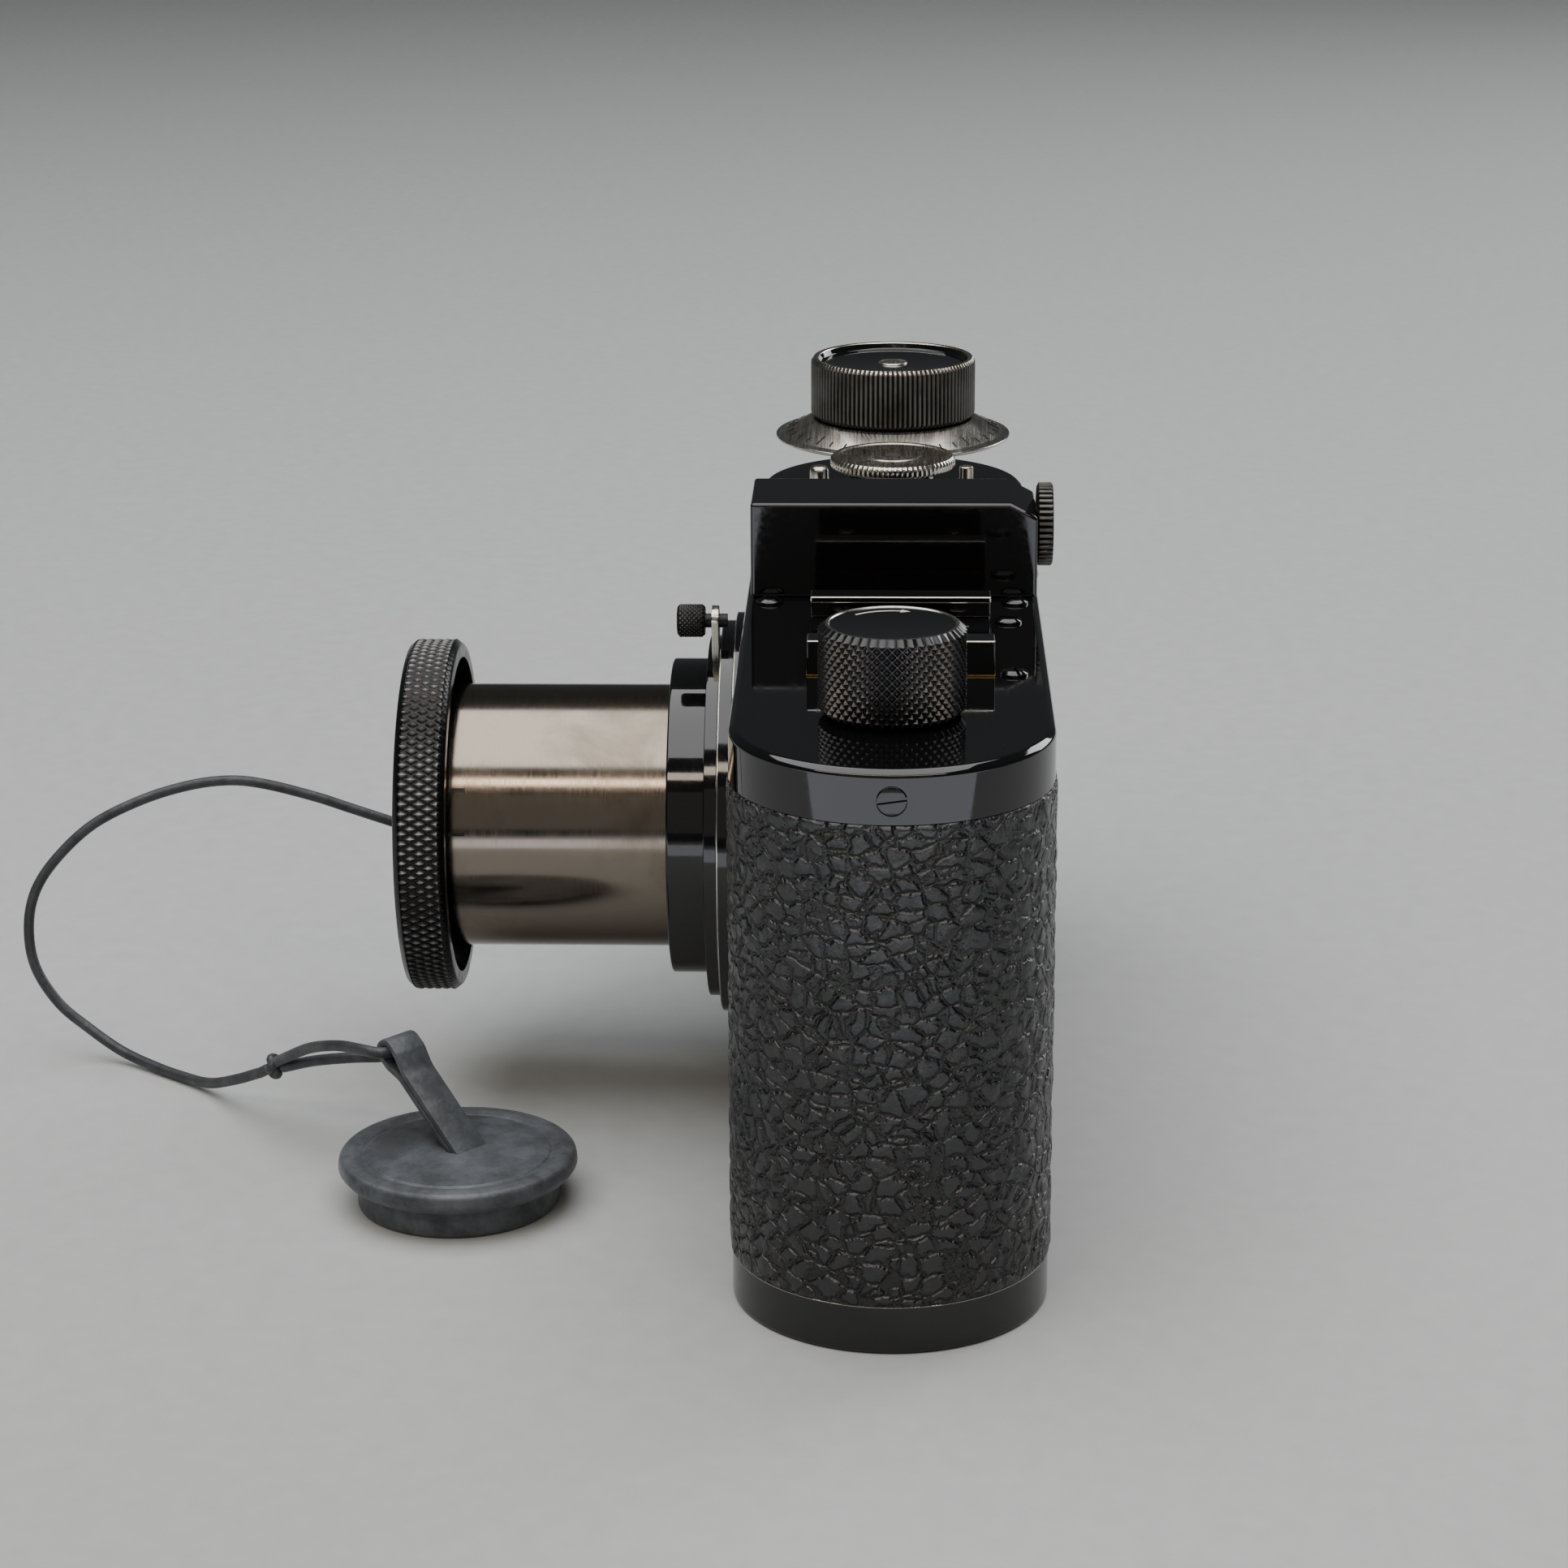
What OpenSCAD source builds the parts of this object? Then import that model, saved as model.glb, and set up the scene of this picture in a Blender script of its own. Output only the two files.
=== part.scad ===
// Small-format film camera of the 1920s: black lacquered body with round ends, direct finder,
// collapsible nickel lens tube, knurled controls and a tethered plug cap.
// Frame: +X along the body towards the rewind knob, -Y the way the lens looks, +Z up,
// origin at the centre of the flat base. All sizes are in millimetres.

/* [Body] */
// Length of the body over its round ends
body_length = 133; // [118:1:165]
// Depth of the body, front to back
body_depth = 31; // [30:0.5:38]
// Height of the top plate above the base
body_height = 58; // [56:0.5:72]
// Height of the top cover's skirt, bevel included
skirt_height = 5.25; // [4:0.25:8]
// Height of the base cover
base_height = 5; // [4.5:0.25:6]
// Thickness of the lacquered covers' skirts
skirt_wall = 0.5; // [0.4:0.05:0.7]
// Thickness of the top plate
plate_wall = 1.2; // [1:0.1:1.6]
// Thickness of the hard grained covering
covering_wall = 0.8; // [0.6:0.1:1.2]
// Wall of the drawn body shell
shell_wall = 1.2; // [1:0.1:1.5]
// Bevel along the top cover's edge, across
top_bevel = 0.8; // [0.4:0.1:1.2]

/* [Lens] */
// Lens axis, measured from the body's middle
lens_x = -4; // [-8:0.5:2]
// Height of the lens axis above the base
lens_z = 31.2; // [30:0.2:36]
// Outer radius of the sliding nickel tube
tube_r = 14.4; // [12:0.1:14.6]
// Wall of the nickel tube
tube_wall = 1; // [0.8:0.1:1.4]
// Tube showing between the focusing mount and the head
tube_reach = 23.3; // [22:0.1:28]
// Length that the tube slides in when it is collapsed
collapse_travel = 20; // [10:0.5:20]
// Lens travel from nearest focus to infinity
focus_travel = 2.6; // [2:0.1:3]
// Outer radius of the knurled ring on the head
head_ring_r = 19.3; // [19:0.1:22]
// Width of the knurled ring
head_ring_w = 5.5; // [4.5:0.1:7]
// Radius of the recess that takes the cap's plug
front_recess_r = 10.6; // [10:0.1:12.8]

/* [Controls] */
// Rewind knob, distance from the body's middle
rewind_x = 48; // [46:0.5:52]
// Radius of the rewind knob
rewind_r = 7.1; // [6:0.1:8]
// Height of the rewind knob
rewind_h = 8.6; // [7:0.1:10]
// Winding knob, distance from the body's middle
wind_x = -50; // [-52:0.5:-48]
// Radius of the winding knob
wind_r = 9.7; // [8:0.1:10.5]
// Height of the winding knob
wind_h = 6.9; // [5:0.1:8]
// Rim radius of the frame counter disc
counter_r = 13.85; // [12:0.05:14.2]
// Distance between neighbouring shafts of the winding train
train_pitch = 11.5; // [11.3:0.05:12]
// Radius of the shutter speed dial
dial_r = 7.05; // [6:0.05:7.4]
// Radius of the release button
button_r = 2.2; // [1.8:0.1:2.4]
// Travel of the release button
button_travel = 1.5; // [1:0.1:1.6]

/* [Finder and shoe] */
// Near face of the finder housing
finder_x = -2.05; // [-3:0.05:-1]
// Width of the finder housing
finder_w = 12.3; // [11:0.1:13]
// Height of the finder housing over the top plate
finder_h = 10.2; // [9.5:0.1:12]
// Clear width of the accessory shoe
shoe_slot_w = 18.6; // [18.5:0.05:18.8]
// Clear height under the shoe's lips
shoe_slot_h = 2; // [1.9:0.05:2.1]
// Length of the accessory shoe
shoe_length = 18.5; // [16:0.5:20]
// Middle of the shoe, from the body's middle
shoe_x = 24.75; // [23:0.25:26]

/* [Cap and cord] */
// How far the cap's rim stands out past its plug
cap_lip = 1.95; // [1.3:0.05:3]
// Depth of the cap's plug
cap_plug_h = 3.2; // [2.5:0.1:4]
// Diameter of the cap's cord
cord_d = 1.2; // [1:0.1:1.5]

/* [Hidden] */

// Clearances
run_fit = 0.06;      // a shaft that turns in a hole
seat_fit = 0.02;     // a piece seated in another on the same part
slide_fit = 0.05;    // the lens tube in its sleeve
gap = 0.3;           // faces that move past each other without touching
thin_gap = 0.1;      // flat faces that turn on each other

body_r = body_depth / 2;
half_run = body_length / 2 - body_r;
shell_r = body_r - skirt_wall;
inner_r = shell_r - shell_wall;
skirt_z = body_height - skirt_height;
plate_low = body_height - plate_wall;
plate_top = body_height;
bevel_drop = 0.5;
base_floor = 1;
round_fn = 96;
small_fn = 32;

// Lens stack, as distances in front of the body's middle
flange_back = shell_r;
flange_front = shell_r + 1.9;
flange_r = tube_r + 8;
flange_bore_r = tube_r + 3.2;
base_ring_front = flange_front + 1.5;
base_ring_r = tube_r + 7.1;
sleeve_wall = 0.75;
sleeve_bore_r = tube_r + slide_fit;
sleeve_r = sleeve_bore_r + sleeve_wall;
mount_bore_r = sleeve_r + gap;
focus_back = base_ring_front + thin_gap;
focus_flange_front = focus_back + 1.3;
focus_flange_r = tube_r + 5.45;
focus_front = focus_flange_front + 4.1;
focus_barrel_r = tube_r + 2.9;
sleeve_front = focus_front - 0.5;
sleeve_back = sleeve_front - 12.4;
tube_engaged = 5.4;
tube_back = sleeve_front - tube_engaged;
head_back = focus_front + tube_reach;
head_step = 2.3;
head_web = head_back + head_step;
head_ring_wall = 2;
head_rim_r = head_ring_r - head_ring_wall - run_fit;
head_front = head_back + head_ring_w + 0.2;
recess_floor = head_front - 4;
glass_bore_r = 7.5;
cell_back = head_web - 13.5;

// Focusing lever: angle from straight up towards +X, and its swing
lever_angle = 12;
lever_w = 3;
lever_t = 0.8;
lever_pin_r = 0.75;
lever_knob_r = 1.8;
lever_knob_h = 3;
lever_reach = base_ring_r + lever_pin_r + 1.7;
catch_angle = 197;
catch_span = 10;

// Winding train, one shaft pitch apart along the body
release_x = wind_x + train_pitch;
dial_x = release_x + train_pitch;
train_z = plate_low - 3.8;
train_h = 1.4;
gear_teeth = 24;
gear_pitch_r = train_pitch / 2;
tooth_pitch = 2 * PI * gear_pitch_r / gear_teeth;
shaft_r = 1.6;
spindle_r = 1;
boss_h = 5.6;
counter_low = plate_top + boss_h + gap;
counter_high = counter_low + 2.4;
wind_low = counter_high + 0.2;
wind_top = wind_low + wind_h;
wind_dish = 0.8;
hub_r = 3;
hub_low = plate_top + 0.2;
hub_high = plate_top + 7.2;
dial_low = hub_high + 0.05;
dial_t = 1.35;
post_y = dial_r + 1.25;
post_top = plate_top + 7.4;
button_low = plate_top + 2.2;
button_h = 1.8;
stem_r = 0.9;
rewind_low = plate_top + 0.4;
rewind_top = rewind_low + rewind_h;

// Film chamber
film_low = base_height + 0.5;
spool_top = plate_low - 5.8;
cassette_r = 12.2;
cassette_top = plate_low - 7.8;
cassette_wall = 0.6;
curtain_y = 5.1;
drum_r = curtain_y - thin_gap;
roller_r = 3;
roller_x = 20.5;
roller_y = curtain_y - thin_gap - roller_r;
crate_low = lens_z - 22.2;
crate_high = lens_z + 16.8;
crate_wall = 1.5;
crate_left = release_x + 6.3;
crate_right = 27;
frame_w = 36;
frame_h = 24;
gate_margin = 4;
gate_front = curtain_y + 1.4;
gate_back = inner_r - 2.6;
pressure_front = gate_back + 0.25;
pressure_t = 0.9;

// Base
lock_x = 46;
lock_r = 6.5;
bush_x = -44;
bush_bore_r = 4.1;
bush_r = 5.8;
bush_flange_r = 7.2;
bush_top = 5.2;

// Finder
finder_front = -(body_r - 0.5);
finder_back = body_r - 0.2;
finder_low = finder_x - finder_w / 2;
finder_high = finder_x + finder_w / 2;
finder_top = plate_top + finder_h;
chamfer_run = 2.9;
chamfer_drop = 1.5;
finder_wall = 1.1;
eye_z = finder_top - 3.6;
eye_r = 4.45;
eye_barrel_r = 2;
eye_h = 1.75;

// Accessory shoe
shoe_wall = 0.75;
shoe_plate = 0.9;
shoe_lip = 2.2;
shoe_lip_t = 0.7;
shoe_y = 0.85;

// Screws
screw_head_r = 1.4;
screw_shank_r = 0.7;
cover_screw_at = [[34, 12], [14, 12], [6.2, 12.9], [6.2, -12.9]];

// Cap, lying in front of the lens. What lies or hangs with it is measured from the front of the head.
cap_at = [30, -(head_front - 8)];
cap_top = cap_plug_h + 2.4;
cap_plug_r = front_recess_r - thin_gap;
cap_r = cap_plug_r + cap_lip;
strap_root = [cap_at[0], cap_at[1] + 1.3, cap_top - 0.7];
strap_tip = strap_root + [-7.8, -8.8, 10.1];
strap_w = 4;
strap_t = 1.6;
eyelet_at = [lens_x - 15, lens_z - 6.6];
eyelet_h = 1.4;
knot_at = [cap_at[0] - 19.2, cap_at[1] - 22, 7.1];
knot_r = 1.5;

// The cord: hung points from the eyelet, lying points from the cap's middle on the ground
hung_points = [
    [0, -1.6, 0], [-0.2, -4.4, 0.8], [0, -9.2, 2.5], [0.2, -12.8, 3.8], [0.6, -18.3, 5.4],
    [1, -22.4, 6], [1.6, -27, 5.6], [2.4, -32.4, 4.1], [3.4, -37.9, 1.5], [4.5, -42, -2.1],
    [5.7, -44.5, -5.7], [6.9, -45.3, -9.7], [8, -44.6, -14.1]];
lying_points = [
    [-40.2, -50, 6.4], [-39.4, -46.5, 3.6], [-37.8, -42.6, 1.5], [-34.9, -38.4, 0.8],
    [-31.9, -34.6, 0.75], [-28.6, -31, 1.3], [-24.2, -27.2, 3.5], [-20.8, -23.8, 5.7]];
cord_route = concat(
    [for (p = hung_points) p + [eyelet_at[0], -head_front, eyelet_at[1]]],
    [for (p = lying_points) p + [cap_at[0], cap_at[1], 0]]);
// The loop through the strap: from the knot out to the strap's tip and back to the knot
loop_out = [[0.9, 0.6, 1], [3.9, 3.8, 3.5]];
loop_turn = [
    [-4.4, -7.6, -2.1], [-1, -2.8, -1.4], [0.5, -0.5, -1.4], [0.4, 0, -2.1], [-0.6, -1, -2.7], [-4.2, -6.2, -3.8]];
loop_back = [[3.9, 4.3, 1.9], [1.2, 1.1, 0.1]];
loop_route = concat(
    [for (p = loop_out) p + knot_at],
    [for (p = loop_turn) p + strap_tip],
    [for (p = loop_back) p + knot_at]);

// A band or solid that follows the body's outline: x is distance from the middle line, y is height
module pill_sweep(run = half_run) {
    for (s = [0, 1]) mirror([s, 0, 0])
        translate([run, 0, 0]) rotate([0, 0, -90]) rotate_extrude(angle = 180, $fn = round_fn) children();
    for (s = [0, 1]) mirror([0, s, 0])
        translate([-run, 0, 0]) rotate([90, 0, 90]) linear_extrude(2 * run) children();
}

// Puts children, drawn along +Z, on the lens axis looking forwards
module on_lens() {
    translate([lens_x, 0, lens_z]) rotate([90, 0, 0]) children();
}

// Turns children around the lens axis, from straight up towards +X
module at_lens_angle(angle) {
    rotate([0, 0, -angle]) children();
}

module ring(outer, inner, low, high, fn = round_fn) {
    translate([0, 0, low]) rotate_extrude($fn = fn)
        translate([inner, 0]) square([outer - inner, high - low]);
}

module disc(r, low, high, fn = round_fn) {
    translate([0, 0, low]) cylinder(r = r, h = high - low, $fn = fn);
}

module disc_at(x, y, r, low, high, fn = small_fn) {
    translate([x, y, 0]) disc(r, low, high, fn);
}

// Slotted flush or dome-headed screw, head up at z = 0
module screw(head_r, shank_r, depth, dome) {
    difference() {
        union() {
            disc(head_r, -0.5, 0, small_fn);
            disc(shank_r, -depth, -0.5, small_fn);
            if (dome > 0) disc(head_r - 0.3, 0, dome, small_fn);
        }
        translate([-head_r - 1, -0.15, dome - 0.3]) cube([2 * head_r + 2, 0.3, 1]);
    }
}

module screw_hole(head_r, shank_r, depth) {
    disc(head_r + seat_fit, -0.5, 1, small_fn);
    disc(shank_r + seat_fit, -depth - 1, 0, small_fn);
}

module gear(low, bore, phase) {
    root_r = gear_pitch_r - 0.62;
    tip_r = gear_pitch_r + 0.4;
    half_root = tooth_pitch * 0.24;
    half_tip = tooth_pitch * 0.1;
    translate([0, 0, low]) linear_extrude(train_h) difference() {
        union() {
            circle(r = root_r, $fn = round_fn);
            for (i = [0 : gear_teeth - 1]) rotate(phase + i * 360 / gear_teeth) polygon([
                [root_r - 0.3, -half_root], [tip_r, -half_tip], [tip_r, half_tip], [root_r - 0.3, half_root]]);
        }
        circle(r = bore, $fn = small_fn);
    }
}

// Turned knob: a cylinder with small bevels on both edges
module turned_knob(r, low, high, bevel) {
    rotate_extrude($fn = round_fn) polygon([
        [0, low], [r - bevel, low], [r, low + bevel], [r, high - bevel], [r - bevel, high], [0, high]]);
}

// Cord: an eight-sided tube swept along a smooth curve through its route
function spline_point(p0, p1, p2, p3, t) = 0.5 * ((2 * p1) + (p2 - p0) * t
    + (2 * p0 - 5 * p1 + 4 * p2 - p3) * t * t + (3 * p1 - p0 - 3 * p2 + p3) * t * t * t);
function smooth_route(p, steps) = concat([for (i = [0 : len(p) - 2], k = [0 : steps - 1])
    spline_point(p[max(i - 1, 0)], p[i], p[i + 1], p[min(i + 2, len(p) - 1)], k / steps)],
    [p[len(p) - 1]]);
function unit(v) = v / norm(v);
function along(p, i) = unit(p[min(i + 1, len(p) - 1)] - p[max(i - 1, 0)]);

module swept_tube(route, d, across) {
    sides = 8;
    n = len(route);
    points = [for (i = [0 : n - 1])
        let (t = along(route, i), u = unit(cross(t, across)), v = cross(t, u))
        for (k = [0 : sides - 1])
            route[i] + d / 2 * (cos(k * 360 / sides) * u + sin(k * 360 / sides) * v)];
    walls = [for (i = [0 : n - 2], k = [0 : sides - 1], half = [0, 1])
        let (a = i * sides + k, b = i * sides + (k + 1) % sides)
        half == 0 ? [a, b, b + sides] : [a, b + sides, a + sides]];
    ends = [[for (k = [sides - 1 : -1 : 0]) k], [for (k = [0 : sides - 1]) (n - 1) * sides + k]];
    polyhedron(points = points, faces = concat(walls, ends));
}

// ---- Body ----

module body_shell() {
    color("dimgray") difference() {
        union() pill_sweep() polygon([
            [inner_r, base_floor + gap], [shell_r - gap, base_floor + gap], [shell_r - gap, base_height],
            [shell_r, base_height], [shell_r, plate_low], [inner_r, plate_low]]);
        on_lens() disc(flange_bore_r, 0, body_r + 5);
        on_lens() flange_screw_places() screw_hole(1.2, 0.6, 2.2);
        cover_screw_places() screw_hole(screw_head_r, screw_shank_r, 2);
        end_screw_places() screw_hole(screw_head_r, screw_shank_r, 2.5);
    }
}

module grained_covering() {
    color("#1b1b1c") difference() {
        union() pill_sweep() translate([shell_r, base_height])
            square([covering_wall, skirt_z - base_height]);
        on_lens() disc(flange_r + thin_gap, 0, body_r + 5);
    }
}

module top_cover() {
    color("#101011") difference() {
        union() pill_sweep() polygon([
            [0, plate_low], [shell_r, plate_low], [shell_r, skirt_z], [body_r, skirt_z],
            [body_r, plate_top - bevel_drop], [body_r - top_bevel, plate_top], [0, plate_top]]);
        disc_at(rewind_x, 0, shaft_r + run_fit, plate_low - 1, plate_top + 1);
        disc_at(wind_x, 0, shaft_r + run_fit, plate_low - 1, plate_top + 1);
        disc_at(release_x, 0, stem_r + run_fit, plate_low - 1, plate_top + 1);
        disc_at(dial_x, 0, spindle_r + run_fit, plate_low - 1, plate_top + 1);
        cover_screw_places() screw_hole(screw_head_r, screw_shank_r, 2);
        shoe_screw_places() disc(0.6 + seat_fit, -3, 1, small_fn);
        end_screw_places() screw_hole(screw_head_r, screw_shank_r, 2.5);
        lever_pivot() disc(1 + run_fit, -2, 1, small_fn);
        on_lens() disc(flange_r + thin_gap, 0, body_r + 5);
    }
}

module cover_screw_places() {
    for (p = cover_screw_at) translate([p[0], p[1], plate_top]) children();
}

module cover_screws() {
    color("#161617") {
        cover_screw_places() screw(screw_head_r, screw_shank_r, 2, 0.6);
        end_screw_places() rotate([0, 0, 98]) screw(screw_head_r, screw_shank_r, 2.5, 0);
    }
}

module end_screw_places() {
    for (s = [0, 1]) mirror([s, 0, 0])
        translate([body_length / 2, 0, plate_top - 2.9]) rotate([0, 90, 0]) children();
}

// ---- Accessory shoe ----

module accessory_shoe() {
    outer = shoe_slot_w + 2 * shoe_wall;
    top = shoe_plate + shoe_slot_h + shoe_lip_t;
    color("#151516") difference() {
        translate([shoe_x, shoe_y, plate_top]) difference() {
            translate([-outer / 2, -shoe_length / 2, 0]) cube([outer, shoe_length, top]);
            translate([-shoe_slot_w / 2, -shoe_length / 2 - 1, shoe_plate])
                cube([shoe_slot_w, shoe_length + 2, shoe_slot_h]);
            translate([-shoe_slot_w / 2 + shoe_lip, -shoe_length / 2 - 1, shoe_plate + 1])
                cube([shoe_slot_w - 2 * shoe_lip, shoe_length + 2, top]);
        }
        shoe_screw_places() screw_hole(1, 0.6, 2);
    }
}

module shoe_screw_places() {
    for (x = [-6, 6], y = [-6, 6])
        translate([shoe_x + x, shoe_y + y, plate_top + shoe_plate]) children();
}

module shoe_screws() {
    color("silver") shoe_screw_places() screw(1, 0.6, 2, 0);
}

// ---- Finder ----

module finder_housing() {
    color("#0f0f10") difference() {
        translate([finder_low, 0, plate_top]) rotate([90, 0, 90]) linear_extrude(finder_w) polygon([
            [finder_front, 0], [finder_back, 0], [finder_back, finder_h - chamfer_drop],
            [finder_back - chamfer_run, finder_h], [finder_front, finder_h]]);
        translate([finder_low + finder_wall, finder_front + 2, plate_top + finder_wall])
            cube([finder_w - 2 * finder_wall, finder_back - finder_front - 6, finder_h - 2 * finder_wall]);
        translate([finder_x - 4, finder_front - 1, plate_top + 1.8]) cube([8, 5, 6.6]);
        translate([finder_x, finder_back + 1, eye_z]) rotate([90, 0, 0])
            cylinder(r = eye_barrel_r + seat_fit, h = 7, $fn = small_fn);
    }
}

module finder_front_glass() {
    color([0.7, 0.8, 0.85, 0.5])
        translate([finder_x - 4, finder_front + 0.4, plate_top + 1.8]) cube([8, 1.2, 6.6]);
}

module finder_rear_glass() {
    color([0.7, 0.8, 0.85, 0.5]) translate([finder_x, finder_back - 0.4, eye_z]) rotate([90, 0, 0])
        cylinder(r = 1.4, h = 1.2, $fn = small_fn);
}

module eyepiece_ring() {
    color("#2a2a2a") translate([finder_x, finder_back, eye_z]) rotate([-90, 0, 0]) difference() {
        union() {
            disc(eye_barrel_r, -3.4, 0, small_fn);
            turned_knob(eye_r, 0, eye_h, 0.3);
        }
        disc(1.4, -4, eye_h + 1, small_fn);
        disc(3.2, eye_h - 0.6, eye_h + 1, small_fn);
    }
}

// ---- Winding side ----

module wind_boss() {
    color("#101011") translate([wind_x, 0, 0])
        ring(5, shaft_r + run_fit, plate_top, plate_top + boss_h);
}

module wind_knob() {
    color("#1a1a1b") translate([wind_x, 0, 0]) difference() {
        turned_knob(wind_r, wind_low, wind_top, 0.4);
        disc(wind_r - 0.9, wind_top - wind_dish, wind_top + 1);
        disc(shaft_r, wind_low - 1, wind_low + 4, small_fn);
        disc(0.8, wind_low, wind_top, small_fn);
    }
}

module wind_knob_screw() {
    color("silver") translate([wind_x, 0, wind_top - wind_dish + 0.5]) screw(1.7, 0.8, 2, 0);
}

module wind_shaft() {
    color("silver") translate([wind_x, 0, 0]) disc(shaft_r, spool_top - 5, wind_low + 4, small_fn);
}

module wind_gear() {
    color("goldenrod") translate([wind_x, 0, 0]) gear(train_z, shaft_r, 0);
}

module take_up_spool() {
    color("#3a3a3a") translate([wind_x, 0, 0]) difference() {
        union() {
            disc(4.6, film_low + 0.5, spool_top);
            disc(6, film_low + 0.5, film_low + 1.5);
            disc(6, spool_top - 1, spool_top);
        }
        disc(shaft_r, spool_top - 5, spool_top + 1, small_fn);
        translate([-0.4, 0, film_low + 8]) cube([0.8, 10, spool_top - film_low - 16]);
    }
}

// Counter disc with its two setting pins
module counter_disc() {
    color("silver") translate([wind_x, 0, 0]) {
        rotate_extrude($fn = round_fn) polygon([
            [shaft_r + run_fit, counter_low], [counter_r - 0.5, counter_low],
            [counter_r, counter_low + 0.35], [wind_r + 0.3, counter_high - 0.1],
            [wind_r, counter_high], [shaft_r + run_fit, counter_high]]);
        for (s = [-1, 1]) disc_at(0, s * (counter_r - 1.2), 0.55, counter_low - 1, counter_low + 0.2);
    }
}

module sprocket_drum() {
    tooth_rows = 14.25;
    color("silver") translate([release_x, 0, 0]) {
        disc(5.2, film_low + 1.5, spool_top - 0.5);
        disc(spindle_r, spool_top - 0.5, train_z + train_h, small_fn);
        for (z = [-1, 1], i = [0 : 7]) translate([0, 0, lens_z + z * tooth_rows])
            rotate([0, 90, i * 45]) translate([0, 0, 5]) cylinder(r1 = 0.8, r2 = 0.45, h = 1, $fn = 16);
    }
}

module sprocket_gear() {
    color("goldenrod") translate([release_x, 0, 0]) gear(train_z, spindle_r, 180 / gear_teeth);
}

module curtain_drum() {
    color("#8a8a88") translate([dial_x, 0, 0]) {
        disc(drum_r, crate_low + crate_wall + 0.5, crate_high - 0.5);
        disc(spindle_r, crate_low - 1, crate_low + crate_wall + 0.5, small_fn);
        disc(spindle_r, crate_high - 0.5, dial_low + dial_t, small_fn);
    }
}

module drum_gear() {
    color("goldenrod") translate([dial_x, 0, 0]) gear(train_z, spindle_r, 0);
}

module curtain_roller() {
    color("#8a8a88") translate([roller_x, roller_y, 0]) {
        disc(roller_r, crate_low + crate_wall + 0.5, crate_high - 0.5);
        disc(spindle_r, crate_low - 1, crate_low + crate_wall + 0.5, small_fn);
        disc(spindle_r, crate_high - 0.5, crate_high + crate_wall + 0.5, small_fn);
    }
}

module dial_hub() {
    color("#101011") translate([dial_x, 0, 0]) ring(hub_r, spindle_r + run_fit, hub_low, hub_high);
}

module speed_dial() {
    color("silver") translate([dial_x, 0, 0]) difference() {
        turned_knob(dial_r, dial_low, dial_low + dial_t, 0.2);
        disc(spindle_r + run_fit, dial_low - 1, dial_low + dial_t + 1, small_fn);
    }
}

module dial_index_post() {
    color("silver") disc_at(dial_x, post_y, 0.8, plate_top, post_top);
}

module release_collar() {
    color("silver") translate([release_x, 0, 0]) ring(3.3, button_r + run_fit, plate_top, plate_top + 2.9);
}

module release_button() {
    color("silver") translate([release_x, 0, 0]) {
        disc(button_r, button_low, button_low + button_h, small_fn);
        disc(stem_r, train_z + train_h + button_travel + 0.4, button_low, small_fn);
    }
}

module release_spring() {
    color("lightgray") translate([release_x, 0, 0])
        ring(button_r - 0.3, stem_r + gap, plate_top, button_low, small_fn);
}

module lever_pivot() {
    translate([dial_x - 8, -post_y, plate_top]) children();
}

module reversing_lever() {
    color("silver") lever_pivot() {
        disc(1, -1, 0.2, small_fn);
        disc(1.8, 0.2, 1.2, small_fn);
        translate([0, -0.9, 0.2]) cube([8, 1.8, 1]);
        translate([8, 0, 0]) disc(1.1, 0.2, post_top - plate_top, small_fn);
    }
}

// ---- Rewinding side ----

module rewind_knob() {
    color("#161617") translate([rewind_x, 0, 0]) difference() {
        turned_knob(rewind_r, rewind_low, rewind_top, 0.75);
        disc(shaft_r, rewind_low - 1, rewind_low + 5, small_fn);
    }
}

module rewind_shaft() {
    color("silver") translate([rewind_x, 0, 0]) disc(shaft_r, cassette_top - 3, rewind_low + 5, small_fn);
}

module film_cassette() {
    color("#2c2c2c") translate([rewind_x, 0, 0]) difference() {
        disc(cassette_r, film_low, cassette_top);
        disc(cassette_r - cassette_wall, film_low + cassette_wall, cassette_top - cassette_wall);
        disc(3.3, cassette_top - 2, cassette_top + 1);
        translate([-cassette_r - 2, 6.5, film_low + 3]) cube([cassette_r, 1.2, cassette_top - film_low - 6]);
    }
}

module cassette_spool() {
    low = film_low + cassette_wall + gap;
    high = cassette_top - cassette_wall - gap;
    color("#4a4a4a") translate([rewind_x, 0, 0]) difference() {
        union() {
            disc(5.5, low, high);
            disc(cassette_r - 1.4, low, low + 1);
            disc(cassette_r - 1.4, high - 1, high);
            disc(3, high, cassette_top + 0.6, small_fn);
        }
        disc(shaft_r, cassette_top - 3, cassette_top + 1, small_fn);
    }
}

// ---- Shutter and film gate ----

module shutter_crate() {
    wall_y = -(inner_r - 1.8);
    depth = curtain_y + 3.4 - wall_y;
    color("#5a5a58") difference() {
        union() {
            for (z = [crate_low, crate_high]) translate([crate_left, wall_y, z])
                cube([crate_right - crate_left, depth, crate_wall]);
            translate([crate_left, wall_y, crate_low])
                cube([crate_right - crate_left, 1, crate_high + crate_wall - crate_low]);
        }
        on_lens() disc(sleeve_r + 1.3, 0, body_r);
        disc_at(dial_x, 0, spindle_r + run_fit, crate_low - 1, crate_high + 3);
        disc_at(roller_x, roller_y, spindle_r + run_fit, crate_low - 1, crate_high + 3);
    }
}

module film_gate() {
    w = frame_w + gate_margin;
    h = frame_h + 2 * gate_margin;
    color("#404040") translate([lens_x, 0, lens_z]) difference() {
        translate([-w / 2, gate_front, -h / 2]) cube([w, gate_back - gate_front, h]);
        translate([-frame_w / 2, gate_front - 1, -frame_h / 2]) cube([frame_w, gate_back - gate_front + 2, frame_h]);
    }
}

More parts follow.
